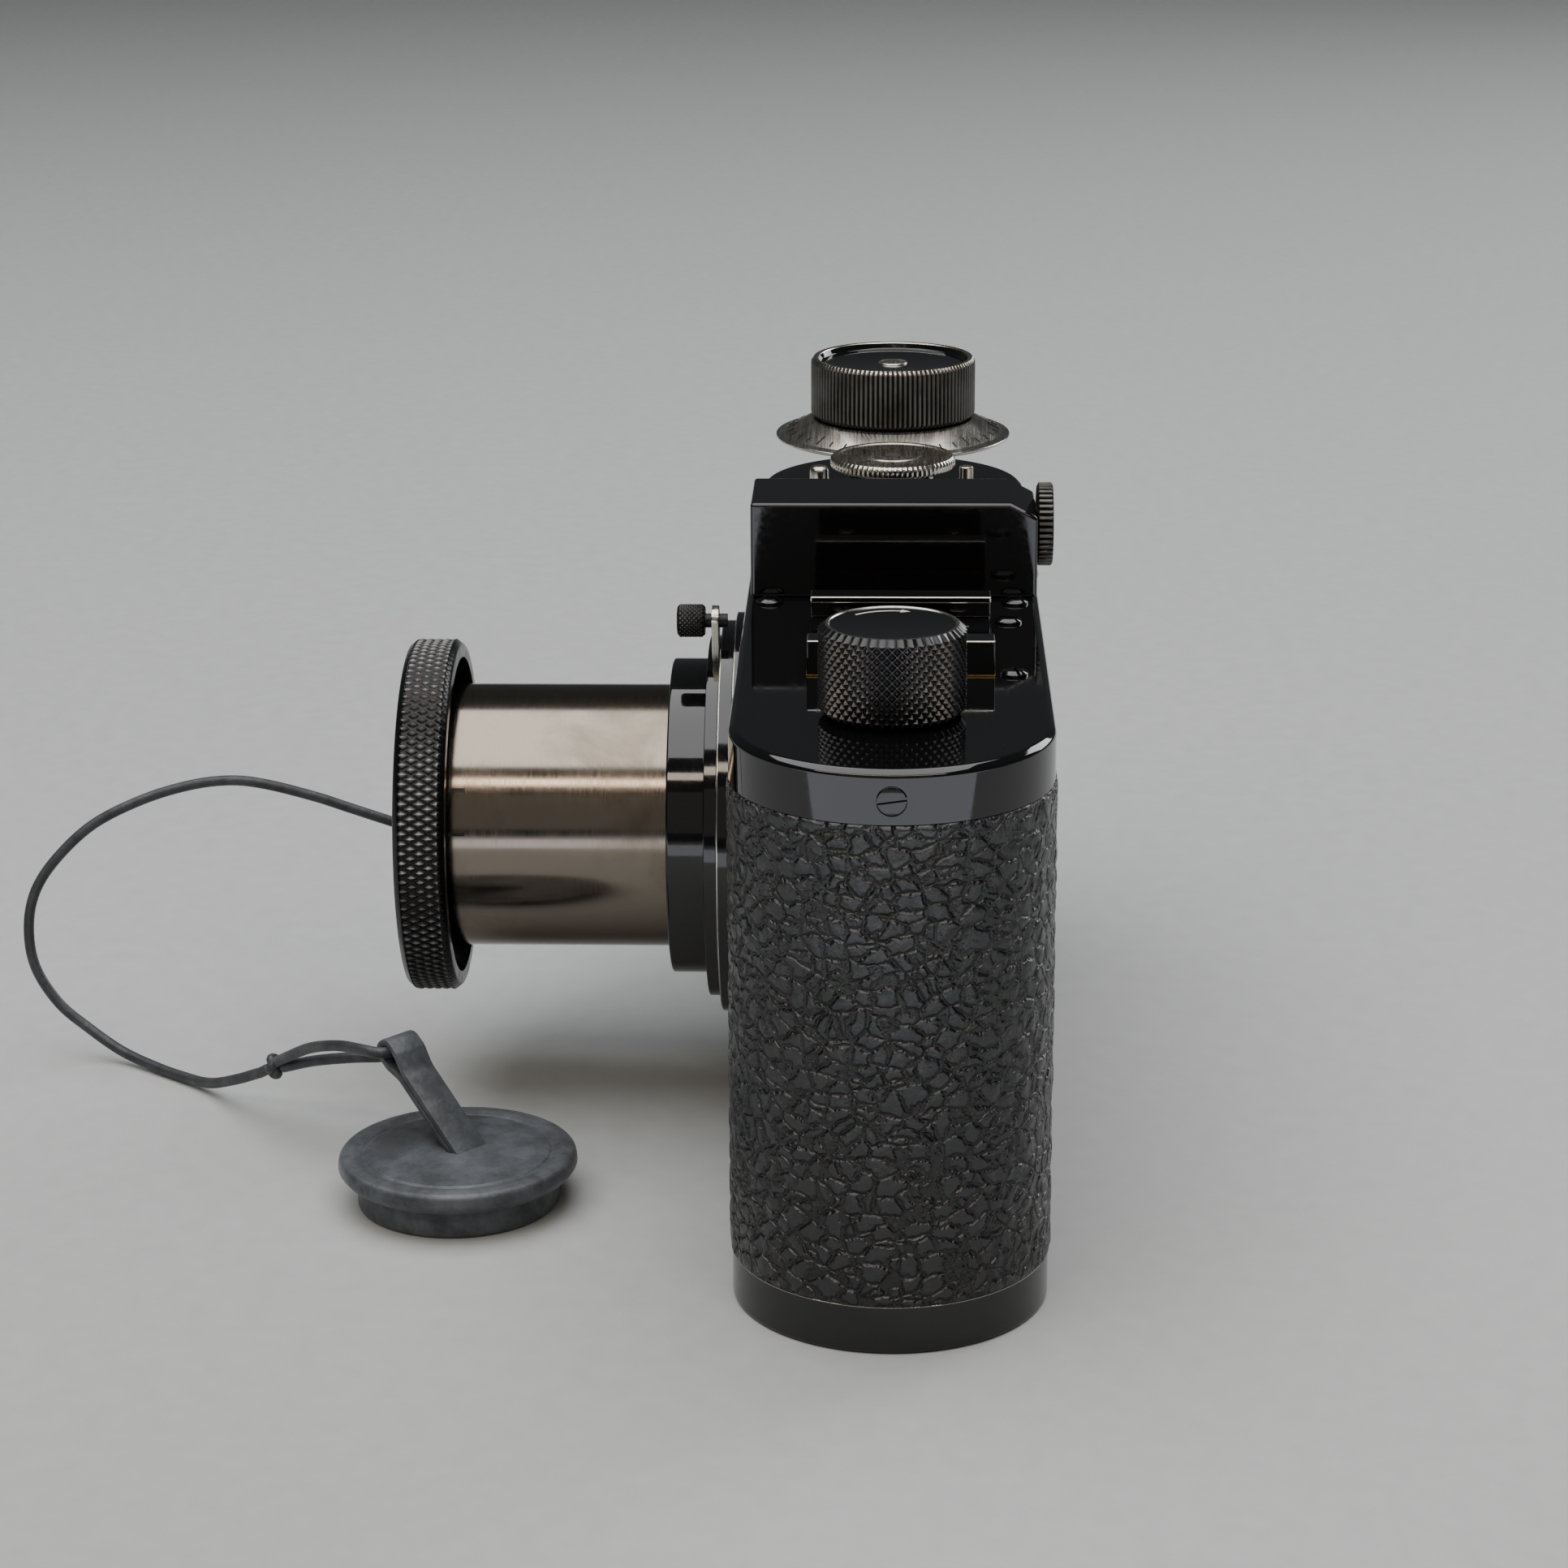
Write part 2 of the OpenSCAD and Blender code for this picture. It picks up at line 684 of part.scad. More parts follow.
module pressure_plate() {
    w = frame_w + gate_margin;
    h = frame_h + gate_margin;
    color("#303030") translate([lens_x - w / 2, pressure_front, lens_z - h / 2]) cube([w, pressure_t, h]);
}

module plate_springs() {
    low = pressure_front + pressure_t;
    high = inner_r - 0.05;
    color("silver") for (z = [-10, 6]) translate([lens_x, 0, lens_z + z]) linear_extrude(4) polygon([
        [-16, low], [-15, low], [0, high - 0.3], [15, low], [16, low], [16, low + 0.3], [15, low + 0.3],
        [1, high], [-1, high], [-15, low + 0.3], [-16, low + 0.3]]);
}

module shutter_curtains() {
    color("#202020") translate([dial_x, curtain_y, crate_low + crate_wall + 4])
        cube([roller_x - dial_x, 0.2, crate_high - crate_low - crate_wall - 8]);
}

// ---- Lens mount and lens ----

module flange_screw_places() {
    for (i = [0 : 3]) rotate([0, 0, 45 + 90 * i])
        translate([flange_r - 2.4, 0, flange_front]) children();
}

module lens_flange() {
    color("#101011") on_lens() difference() {
        ring(flange_r, flange_bore_r, flange_back, flange_front);
        flange_screw_places() screw_hole(1.2, 0.6, 2.2);
    }
}

module flange_screws() {
    color("silver") on_lens() flange_screw_places() screw(1.2, 0.6, 2.2, 0);
}

module lens_base_ring() {
    color("#111112") on_lens() rotate_extrude($fn = round_fn) polygon([
        [mount_bore_r, inner_r + 0.2], [flange_bore_r - seat_fit, inner_r + 0.2],
        [flange_bore_r - seat_fit, flange_front], [base_ring_r, flange_front],
        [base_ring_r, base_ring_front], [mount_bore_r, base_ring_front]]);
}

module infinity_catch() {
    color("silver") on_lens() at_lens_angle(catch_angle) translate([0, 0, base_ring_front])
        rotate([0, 0, 90 - catch_span / 2]) rotate_extrude(angle = catch_span, $fn = round_fn)
            translate([focus_flange_r + 0.2, 0]) square([base_ring_r - focus_flange_r - 0.3, 0.8]);
}

module lever_slot(extra) {
    translate([-lever_w / 2 - extra, focus_barrel_r + 0.4, focus_back - extra])
        cube([lever_w + 2 * extra, lever_reach - focus_barrel_r + 1.6, lever_t + extra]);
}

module focus_ring() {
    color("#101011") on_lens() difference() {
        rotate_extrude($fn = round_fn) polygon([
            [mount_bore_r, focus_back], [focus_flange_r, focus_back],
            [focus_flange_r, focus_flange_front], [focus_barrel_r, focus_flange_front],
            [focus_barrel_r, focus_front - 0.3], [focus_barrel_r - 0.3, focus_front],
            [mount_bore_r, focus_front]]);
        at_lens_angle(lever_angle) lever_slot(seat_fit);
    }
}

module focus_lever() {
    color("silver") on_lens() at_lens_angle(lever_angle) difference() {
        lever_slot(0);
        translate([0, lever_reach, focus_back - 1]) cylinder(r = lever_pin_r + run_fit, h = 4, $fn = small_fn);
    }
}

module focus_lock_button() {
    color("#1a1a1b") on_lens() at_lens_angle(lever_angle) translate([0, lever_reach, 0]) {
        disc(lever_pin_r, flange_front + 0.7, focus_back + lever_t + 0.8, small_fn);
        translate([0, 0, focus_back + lever_t + 0.7]) turned_knob(lever_knob_r, 0, lever_knob_h, 0.3);
    }
}

module helicoid_sleeve() {
    color("silver") on_lens() ring(sleeve_r, sleeve_bore_r, sleeve_back, sleeve_front);
}

module lens_tube() {
    color("#8c8378") on_lens() ring(tube_r, tube_r - tube_wall, tube_back, head_web);
}

module lens_head() {
    color("#1a1a1b") on_lens() {
        rotate_extrude($fn = round_fn) polygon([
            [glass_bore_r, cell_back], [tube_r - tube_wall, cell_back], [tube_r - tube_wall, head_web],
            [head_rim_r, head_web], [head_rim_r, head_front], [front_recess_r, head_front],
            [front_recess_r, recess_floor], [glass_bore_r, recess_floor]]);
        translate([eyelet_at[0] - lens_x, eyelet_at[1] - lens_z, head_front]) difference() {
            cylinder(r = 0.8, h = eyelet_h, $fn = small_fn);
            translate([0, 3, eyelet_h / 2]) rotate([90, 0, 0]) cylinder(r = 0.35, h = 6, $fn = 16);
        }
    }
}

module front_element() {
    color([0.6, 0.7, 0.8, 0.5]) on_lens() intersection() {
        disc(glass_bore_r - seat_fit, recess_floor - 4.5, recess_floor);
        translate([0, 0, recess_floor - 22.5]) sphere(r = 22, $fn = round_fn);
    }
}

module rear_element() {
    color([0.6, 0.7, 0.8, 0.5]) on_lens() intersection() {
        disc(glass_bore_r - seat_fit, cell_back + 0.5, cell_back + 4);
        translate([0, 0, cell_back + 22.5]) sphere(r = 22, $fn = round_fn);
    }
}

module iris_leaves() {
    color("#222222") on_lens() translate([0, 0, cell_back + 5.4]) difference() {
        cylinder(r = glass_bore_r - seat_fit, h = 0.3, $fn = round_fn);
        translate([0, 0, -1]) cylinder(r = 3, h = 3, $fn = 6);
    }
}

module aperture_ring() {
    inner = head_ring_r - head_ring_wall;
    color("#2a2a2a") on_lens() rotate_extrude($fn = round_fn) polygon([
        [inner, head_back], [head_ring_r - 0.7, head_back], [head_ring_r, head_back + 0.7],
        [head_ring_r, head_back + head_ring_w - 0.7], [head_ring_r - 0.7, head_back + head_ring_w],
        [inner, head_back + head_ring_w]]);
}

// ---- Base ----

module base_cover() {
    color("#0f0f10") difference() {
        union() pill_sweep() polygon([
            [0, 0], [body_r, 0], [body_r, base_height - 0.02], [shell_r + 0.05, base_height - 0.02],
            [shell_r + 0.05, base_floor], [0, base_floor]]);
        disc_at(lock_x, 0, lock_r + run_fit, -1, base_floor + 1, round_fn);
        disc_at(bush_x, 0, bush_r, -1, base_floor + 1, round_fn);
    }
}

module base_lock_key() {
    color("silver") translate([lock_x, 0, 0]) {
        difference() {
            disc(lock_r, 0.1, base_floor);
            translate([-lock_r + 1, -0.8, -1]) cube([2 * lock_r - 2, 1.6, 1.7]);
        }
        disc(2, base_floor, base_floor + 1.4, small_fn);
        translate([-2, -7.5, base_floor + 1.4]) cube([4, 15, 0.9]);
    }
}

module tripod_bush() {
    color("silver") translate([bush_x, 0, 0]) difference() {
        union() {
            disc(bush_r, 0.05, bush_top);
            disc(bush_flange_r, base_floor, base_floor + 1);
        }
        disc(bush_bore_r, -1, bush_top + 1);
    }
}

// ---- Cap and cord ----

module cap_cord() {
    color("#2b2c2e") swept_tube(smooth_route(cord_route, 2), cord_d, [1, 0, 0]);
}

module cord_knot() {
    color("#2b2c2e") translate(knot_at) sphere(r = knot_r, $fn = small_fn);
}

module cord_loop() {
    color("#2b2c2e") swept_tube(smooth_route(loop_route, 2), cord_d, [0.6, 0.1, -1]);
}

module cap_strap() {
    run = strap_tip - strap_root;
    heading = atan2(run[1], run[0]);
    lean = acos(run[2] / norm(run));
    color("#3b3d40") translate(strap_root) rotate([0, lean, heading])
        translate([-strap_t / 2, -strap_w / 2, 0]) cube([strap_t, strap_w, norm(run)]);
}

module lens_cap() {
    rim_low = cap_plug_h;
    color("#3b3d40") translate([cap_at[0], cap_at[1], 0]) rotate_extrude($fn = round_fn) polygon([
        [0, 0], [cap_plug_r, 0], [cap_plug_r, rim_low], [cap_r - 0.8, rim_low], [cap_r, rim_low + 0.8],
        [cap_r, cap_top - 0.9], [cap_r - 0.7, cap_top - 0.1], [cap_r - 2.4, cap_top], [0, cap_top]]);
}

body_shell();
grained_covering();
top_cover();
cover_screws();
accessory_shoe();
shoe_screws();
finder_housing();
finder_front_glass();
finder_rear_glass();
eyepiece_ring();
wind_boss();
release_collar();
dial_index_post();
lens_flange();
flange_screws();
lens_base_ring();
infinity_catch();
shutter_crate();
film_gate();
pressure_plate();
plate_springs();
shutter_curtains();
film_cassette();
wind_knob();
wind_knob_screw();
wind_shaft();
wind_gear();
take_up_spool();
counter_disc();
sprocket_drum();
sprocket_gear();
curtain_drum();
drum_gear();
curtain_roller();
dial_hub();
speed_dial();
release_button();
release_spring();
reversing_lever();
rewind_knob();
rewind_shaft();
cassette_spool();
focus_ring();
focus_lever();
focus_lock_button();
helicoid_sleeve();
lens_tube();
lens_head();
front_element();
rear_element();
iris_leaves();
aperture_ring();
base_cover();
base_lock_key();
tripod_bush();
cap_cord();
cord_knot();
cord_loop();
cap_strap();
lens_cap();
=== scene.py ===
import logging
import math
from dataclasses import dataclass
from enum import Enum
from typing import Iterable, Optional, Sequence

import bmesh
import bpy
from mathutils import Matrix, Vector, noise


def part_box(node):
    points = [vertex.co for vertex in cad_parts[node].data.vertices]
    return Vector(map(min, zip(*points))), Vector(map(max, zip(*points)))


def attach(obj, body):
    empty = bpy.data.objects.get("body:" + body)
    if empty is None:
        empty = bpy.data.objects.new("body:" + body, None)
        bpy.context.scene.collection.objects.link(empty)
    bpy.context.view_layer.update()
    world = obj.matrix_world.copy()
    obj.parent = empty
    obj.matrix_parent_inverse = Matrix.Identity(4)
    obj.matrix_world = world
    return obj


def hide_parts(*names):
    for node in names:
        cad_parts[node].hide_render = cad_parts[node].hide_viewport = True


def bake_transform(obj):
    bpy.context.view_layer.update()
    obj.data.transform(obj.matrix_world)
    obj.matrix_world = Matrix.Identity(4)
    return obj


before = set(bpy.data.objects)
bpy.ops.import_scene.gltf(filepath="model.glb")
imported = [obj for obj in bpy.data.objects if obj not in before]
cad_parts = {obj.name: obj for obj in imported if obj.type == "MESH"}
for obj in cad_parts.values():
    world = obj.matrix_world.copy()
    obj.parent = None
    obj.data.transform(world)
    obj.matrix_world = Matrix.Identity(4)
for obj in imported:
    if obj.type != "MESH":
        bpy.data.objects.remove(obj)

MM = 0.001
TAU = 2 * math.pi
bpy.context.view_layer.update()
LOG = logging.getLogger("camera")

Point2 = tuple[float, float]
Point3 = tuple[float, float, float]
Socket = bpy.types.NodeSocket


# ---------------------------------------------------------------- materials


def linear(code: str) -> tuple[float, float, float, float]:
    """Turns an sRGB hex colour into linear RGBA.

    Args:
        code: The colour as #rrggbb.

    Returns:
        Linear red, green, blue and an alpha of 1.
    """
    values = [int(code[i:i + 2], 16) / 255 for i in (1, 3, 5)]
    return (*(v / 12.92 if v <= 0.04045 else ((v + 0.055) / 1.055) ** 2.4 for v in values), 1.0)


def per_mm(feature: float) -> float:
    """Returns the texture scale that makes features this many millimetres wide."""
    return 1 / (feature * MM)


def add_node(tree: bpy.types.NodeTree, kind: str, inputs: Optional[dict] = None,
             stops: Sequence[tuple[float, tuple]] = (), **settings: object) -> bpy.types.Node:
    """Adds one shader node with its settings, values and links.

    Args:
        tree: The node tree that gets the node.
        kind: The node's type name, without its ShaderNode prefix.
        inputs: Socket name or number to a value, or to the output socket that feeds it.
        stops: Position and colour of each stop, on a node that has a colour ramp.
        settings: The node's own properties.

    Returns:
        The new node.
    """
    node = tree.nodes.new("ShaderNode" + kind)
    for name, value in settings.items():
        setattr(node, name, value)
    for key, value in (inputs or {}).items():
        if isinstance(value, Socket):
            tree.links.new(value, node.inputs[key])
        else:
            node.inputs[key].default_value = value
    if stops:
        elements = node.color_ramp.elements
        while len(elements) < len(stops):
            elements.new(0.5)
        for element, (position, colour) in zip(elements, stops):
            element.position, element.color = position, colour
    return node


def feed(tree: bpy.types.NodeTree, shader: bpy.types.Node, values: Optional[dict] = None,
         **sockets: Socket) -> None:
    """Links sockets and sets constants on a shader.

    Args:
        tree: The node tree.
        shader: The Principled shader.
        values: Socket name to constant value.
        sockets: Socket name, with underscores for spaces, to the output that feeds it.
    """
    for name, value in (values or {}).items():
        shader.inputs[name].default_value = value
    for name, source in sockets.items():
        tree.links.new(source, shader.inputs[name.replace("_", " ")])


@dataclass(frozen=True)
class Finish:
    """A surface finish: one named, node-based material, built once."""

    name: str

    def material(self) -> bpy.types.Material:
        """Returns the finish's material, building it on first use."""
        made = bpy.data.materials.get(self.name)
        if made is None:
            made = bpy.data.materials.new(self.name)
            made.use_nodes = True
            tree = made.node_tree
            self.dress(tree, tree.nodes["Principled BSDF"], add_node(tree, "TexCoord").outputs["Object"])
        return made

    def dress(self, tree: bpy.types.NodeTree, shader: bpy.types.Node, coords: Socket) -> None:
        """Wires the finish's nodes.

        Args:
            tree: The material's node tree.
            shader: Its Principled shader.
            coords: Object coordinates, in metres.
        """


@dataclass(frozen=True)
class BlackLacquer(Finish):
    """Stoved black lacquer on brass, rubbed by hand: deep mirror gloss, fine wipe marks and a few dust specks."""

    colour: str = "#0a0a0b"
    dust: str = "#85888c"
    haze_mm: float = 9.0
    peel_mm: float = 1.4
    dust_mm: float = 1.5
    low: float = 0.035
    high: float = 0.11

    def dress(self, tree: bpy.types.NodeTree, shader: bpy.types.Node, coords: Socket) -> None:
        """Wires the gloss, a cloudy haze of wiping, slight orange peel and the dust."""
        haze = add_node(tree, "TexNoise", {"Vector": coords, "Scale": per_mm(self.haze_mm), "Detail": 5.0,
                                           "Roughness": 0.65}).outputs["Fac"]
        streaks = add_node(tree, "Mapping", {"Vector": coords, "Rotation": (0.4, 0.3, 0.9),
                                             "Scale": (per_mm(14), per_mm(0.6), per_mm(0.6))}).outputs["Vector"]
        wipes = add_node(tree, "TexNoise", {"Vector": streaks, "Scale": 1.0, "Detail": 2.0}).outputs["Fac"]
        both = add_node(tree, "Math", {0: haze, 1: wipes}, operation="MULTIPLY").outputs[0]
        rough = add_node(tree, "MapRange", {"Value": both, "From Min": 0.18, "From Max": 0.42,
                                            "To Min": self.low, "To Max": self.high}).outputs["Result"]
        cells = add_node(tree, "TexVoronoi", {"Vector": coords, "Scale": per_mm(self.dust_mm)})
        near = add_node(tree, "Math", {0: cells.outputs["Distance"], 1: 0.04}, operation="LESS_THAN").outputs[0]
        rare = add_node(tree, "Math", {0: cells.outputs["Color"], 1: 0.85}, operation="GREATER_THAN").outputs[0]
        dust = add_node(tree, "Math", {0: near, 1: rare}, operation="MULTIPLY").outputs[0]
        colour = add_node(tree, "Mix", {0: dust, 6: linear(self.colour), 7: linear(self.dust)},
                          data_type="RGBA").outputs[2]
        peel = add_node(tree, "TexNoise", {"Vector": coords, "Scale": per_mm(self.peel_mm), "Detail": 1.0})
        normal = add_node(tree, "Bump", {"Height": peel.outputs["Fac"], "Distance": 0.003 * MM,
                                         "Strength": 0.25}).outputs["Normal"]
        feed(tree, shader, {"IOR": 1.56}, Base_Color=colour, Roughness=rough, Normal=normal)


@dataclass(frozen=True)
class Vulcanite(Finish):
    """Hard rubber covering, rolled with a pebble grain: flat satin tops with small dents, parted by cracks; the colour
    paints shade into the cracks and a highlight onto the tops.
    """

    crack_shade: str = "#040404"
    flank: str = "#0f1011"
    crown: str = "#1d1e20"
    pebble_mm: float = 2.15
    drift_mm: float = 5.0
    dent_mm: float = 0.8
    pit_mm: float = 0.25

    def dress(self, tree: bpy.types.NodeTree, shader: bpy.types.Node, coords: Socket) -> None:
        """Wires pebbles that are wider than tall, each with its own height and sheen, then dents and pits."""
        drift = add_node(tree, "TexNoise", {"Vector": coords, "Scale": per_mm(self.drift_mm), "Detail": 4.0,
                                            "Roughness": 0.6}).outputs["Color"]
        push = add_node(tree, "VectorMath", {0: drift, 1: (3.2 * MM, 3.2 * MM, 3.2 * MM), 2: coords},
                        operation="MULTIPLY_ADD").outputs["Vector"]
        squat = add_node(tree, "Mapping", {"Vector": push, "Scale": (1.0, 1.0, 1.3)}).outputs["Vector"]
        edge = add_node(tree, "TexVoronoi", {"Vector": squat, "Scale": per_mm(self.pebble_mm)},
                        feature="DISTANCE_TO_EDGE").outputs["Distance"]
        cell = add_node(tree, "TexVoronoi", {"Vector": squat, "Scale": per_mm(self.pebble_mm)}).outputs["Color"]
        rise = add_node(tree, "MapRange", {"Value": edge, "From Max": 0.19},
                        interpolation_type="SMOOTHSTEP").outputs["Result"]
        dome = add_node(tree, "Math", {0: edge, 1: 0.7, 2: rise}, operation="MULTIPLY_ADD").outputs[0]
        stature = add_node(tree, "MapRange", {"Value": cell, "To Min": 0.55, "To Max": 1.0}).outputs["Result"]
        height = add_node(tree, "Math", {0: dome, 1: stature}, operation="MULTIPLY").outputs[0]
        # Painted shade and highlight: the colour runs from near black in the cracks to lighter grey on the pebble tops,
        # by distance to a crack.
        colour = add_node(tree, "ValToRGB", {"Fac": rise}, stops=[
            (0.08, linear(self.crack_shade)), (0.5, linear(self.flank)), (0.95, linear(self.crown))]).outputs["Color"]
        dents = add_node(tree, "TexNoise", {"Vector": coords, "Scale": per_mm(self.dent_mm), "Detail": 4.0,
                                            "Distortion": 0.6}).outputs["Fac"]
        sheen = add_node(tree, "Math", {0: dents, 1: stature}, operation="MULTIPLY").outputs[0]
        rough = add_node(tree, "MapRange", {"Value": sheen, "From Min": 0.2, "From Max": 0.6,
                                            "To Min": 0.24, "To Max": 0.5}).outputs["Result"]
        pits = add_node(tree, "TexNoise", {"Vector": coords, "Scale": per_mm(self.pit_mm), "Detail": 2.0})
        broad = add_node(tree, "Bump", {"Height": height, "Distance": 0.32 * MM, "Strength": 1.0})
        soft = add_node(tree, "Bump", {"Height": dents, "Distance": 0.16 * MM, "Strength": 0.6,
                                       "Normal": broad.outputs["Normal"]})
        normal = add_node(tree, "Bump", {"Height": pits.outputs["Fac"], "Distance": 0.03 * MM, "Strength": 0.4,
                                         "Normal": soft.outputs["Normal"]}).outputs["Normal"]
        feed(tree, shader, {"IOR": 1.56}, Base_Color=colour, Roughness=rough, Normal=normal)


@dataclass(frozen=True)
class PlatedMetal(Finish):
    """Nickel plate on turned brass, long handled: cloudy tarnish, and hairlines that run round the piece."""

    bright: str = "#c9c5bc"
    tarnish: str = "#8f8370"
    roughness: float = 0.22
    hairline_mm: float = 0.12
    tarnish_mm: float = 7.0
    around: Point3 = (0.03, 1.0, 0.03)
    scratch: float = 0.08

    def dress(self, tree: bpy.types.NodeTree, shader: bpy.types.Node, coords: Socket) -> None:
        """Wires tarnish clouds and hairlines."""
        cloud = add_node(tree, "TexNoise", {"Vector": coords, "Scale": per_mm(self.tarnish_mm), "Detail": 7.0,
                                            "Roughness": 0.62, "Distortion": 0.6}).outputs["Fac"]
        colour = add_node(tree, "ValToRGB", {"Fac": cloud}, stops=[
            (0.34, linear(self.tarnish)), (0.52, linear(self.bright))]).outputs["Color"]
        drawn = add_node(tree, "Mapping", {"Vector": coords,
                                           "Scale": tuple(a * per_mm(self.hairline_mm) for a in self.around)})
        lines = add_node(tree, "TexNoise", {"Vector": drawn.outputs["Vector"], "Scale": 1.0,
                                            "Detail": 3.0}).outputs["Fac"]
        both = add_node(tree, "Math", {0: lines, 1: cloud}, operation="ADD").outputs[0]
        rough = add_node(tree, "MapRange", {"Value": both, "From Min": 0.7, "From Max": 1.3,
                                            "To Min": self.roughness * 1.5, "To Max": self.roughness * 0.6})
        normal = add_node(tree, "Bump", {"Height": lines, "Distance": 0.004 * MM, "Strength": self.scratch})
        feed(tree, shader, {"Metallic": 1.0}, Base_Color=colour, Roughness=rough.outputs["Result"],
             Normal=normal.outputs["Normal"])


@dataclass(frozen=True)
class KnurledBlack(Finish):
    """Black-finished knurled brass: dark glossy flanks, crests rubbed to a dull gleam in patches."""

    flank: str = "#0b0b0c"
    crest: str = "#4a4a4a"
    worn_from: float = 0.7
    patch_mm: float = 2.5
    metallic: float = 0.0
    low: float = 0.2
    high: float = 0.36

    def dress(self, tree: bpy.types.NodeTree, shader: bpy.types.Node, coords: Socket) -> None:
        """Wires wear on the crests, read from the mesh's own relief."""
        height = add_node(tree, "Attribute", attribute_name="relief").outputs["Fac"]
        patch = add_node(tree, "TexNoise", {"Vector": coords, "Scale": per_mm(self.patch_mm), "Detail": 5.0,
                                            "Roughness": 0.6}).outputs["Fac"]
        rubbed = add_node(tree, "MapRange", {"Value": height, "From Min": self.worn_from,
                                             "From Max": 1.0}).outputs["Result"]
        wear = add_node(tree, "Math", {0: rubbed, 1: patch}, operation="MULTIPLY").outputs[0]
        colour = add_node(tree, "Mix", {0: wear, 6: linear(self.flank), 7: linear(self.crest)},
                          data_type="RGBA").outputs[2]
        rough = add_node(tree, "MapRange", {"Value": patch, "From Min": 0.3, "From Max": 0.7,
                                            "To Min": self.low, "To Max": self.high}).outputs["Result"]
        feed(tree, shader, {"Metallic": self.metallic}, Base_Color=colour, Roughness=rough)


@dataclass(frozen=True)
class OpticalGlass(Finish):
    """Polished uncoated crown glass: clear, with a trace of wiping haze."""

    tint: str = "#f2f3ee"
    haze_mm: float = 4.0

    def dress(self, tree: bpy.types.NodeTree, shader: bpy.types.Node, coords: Socket) -> None:
        """Wires clear transmission with a slight haze."""
        haze = add_node(tree, "TexNoise", {"Vector": coords, "Scale": per_mm(self.haze_mm), "Detail": 3.0})
        rough = add_node(tree, "MapRange", {"Value": haze.outputs["Fac"], "To Min": 0.0, "To Max": 0.03})
        feed(tree, shader, {"Base Color": linear(self.tint), "IOR": 1.52, "Transmission Weight": 1.0},
             Roughness=rough.outputs["Result"])


@dataclass(frozen=True)
class DyedLeather(Finish):
    """Thin vegetable-tanned leather, dyed near black: fine pores, soft creases and greyed, rubbed patches."""

    colour: str = "#2f3236"
    rubbed: str = "#565b61"
    pore_mm: float = 0.5
    crease_mm: float = 1.8
    patch_mm: float = 4.5
    roughness: float = 0.48

    def dress(self, tree: bpy.types.NodeTree, shader: bpy.types.Node, coords: Socket) -> None:
        """Wires rubbed patches, creases and pores."""
        patch = add_node(tree, "TexNoise", {"Vector": coords, "Scale": per_mm(self.patch_mm), "Detail": 8.0,
                                            "Roughness": 0.7}).outputs["Fac"]
        colour = add_node(tree, "ValToRGB", {"Fac": patch}, stops=[
            (0.4, linear(self.colour)), (0.7, linear(self.rubbed))]).outputs["Color"]
        rough = add_node(tree, "MapRange", {"Value": patch, "From Min": 0.3, "From Max": 0.7,
                                            "To Min": self.roughness + 0.1, "To Max": self.roughness - 0.1})
        pores = add_node(tree, "TexVoronoi", {"Vector": coords, "Scale": per_mm(self.pore_mm)},
                         feature="SMOOTH_F1").outputs["Distance"]
        creases = add_node(tree, "TexNoise", {"Vector": coords, "Scale": per_mm(self.crease_mm), "Detail": 5.0,
                                              "Distortion": 1.5}).outputs["Fac"]
        soft = add_node(tree, "Bump", {"Height": creases, "Distance": 0.12 * MM, "Strength": 0.45})
        normal = add_node(tree, "Bump", {"Height": pores, "Distance": 0.05 * MM, "Strength": 0.4,
                                         "Normal": soft.outputs["Normal"]}).outputs["Normal"]
        feed(tree, shader, {"Sheen Weight": 0.12, "Sheen Roughness": 0.4}, Base_Color=colour,
             Roughness=rough.outputs["Result"], Normal=normal)


@dataclass(frozen=True)
class MottledCoat(Finish):
    """A plain paint, wax, cloth or raw metal, uneven in tone, with a fine grain."""

    colour: str = "#404040"
    metallic: float = 0.0
    roughness: float = 0.5
    grain_mm: float = 0.8
    shade: float = 0.65

    def dress(self, tree: bpy.types.NodeTree, shader: bpy.types.Node, coords: Socket) -> None:
        """Wires mottled colour and roughness, and the grain."""
        mottle = add_node(tree, "TexNoise", {"Vector": coords, "Scale": per_mm(self.grain_mm * 6),
                                             "Detail": 6.0}).outputs["Fac"]
        base = linear(self.colour)
        dark = (*(v * self.shade for v in base[:3]), 1.0)
        colour = add_node(tree, "ValToRGB", {"Fac": mottle}, stops=[(0.3, dark), (0.65, base)])
        rough = add_node(tree, "MapRange", {"Value": mottle, "To Min": self.roughness - 0.12,
                                            "To Max": self.roughness + 0.12}).outputs["Result"]
        grain = add_node(tree, "TexNoise", {"Vector": coords, "Scale": per_mm(self.grain_mm), "Detail": 2.0})
        normal = add_node(tree, "Bump", {"Height": grain.outputs["Fac"], "Distance": 0.02 * MM, "Strength": 0.3})
        feed(tree, shader, {"Metallic": self.metallic}, Base_Color=colour.outputs["Color"], Roughness=rough,
             Normal=normal.outputs["Normal"])


LACQUER = BlackLacquer("black_stoved_lacquer")
ENAMEL = BlackLacquer("black_mount_enamel", colour="#0d0d0e", haze_mm=5.0, low=0.05, high=0.1)
VULCANITE = Vulcanite("pebbled_vulcanite")
NICKEL = PlatedMetal("aged_nickel_plate")
TUBE_NICKEL = PlatedMetal("worn_tube_nickel", bright="#857c71", tarnish="#6e6458", roughness=0.15,
                          hairline_mm=0.08, tarnish_mm=16.0, scratch=0.03)
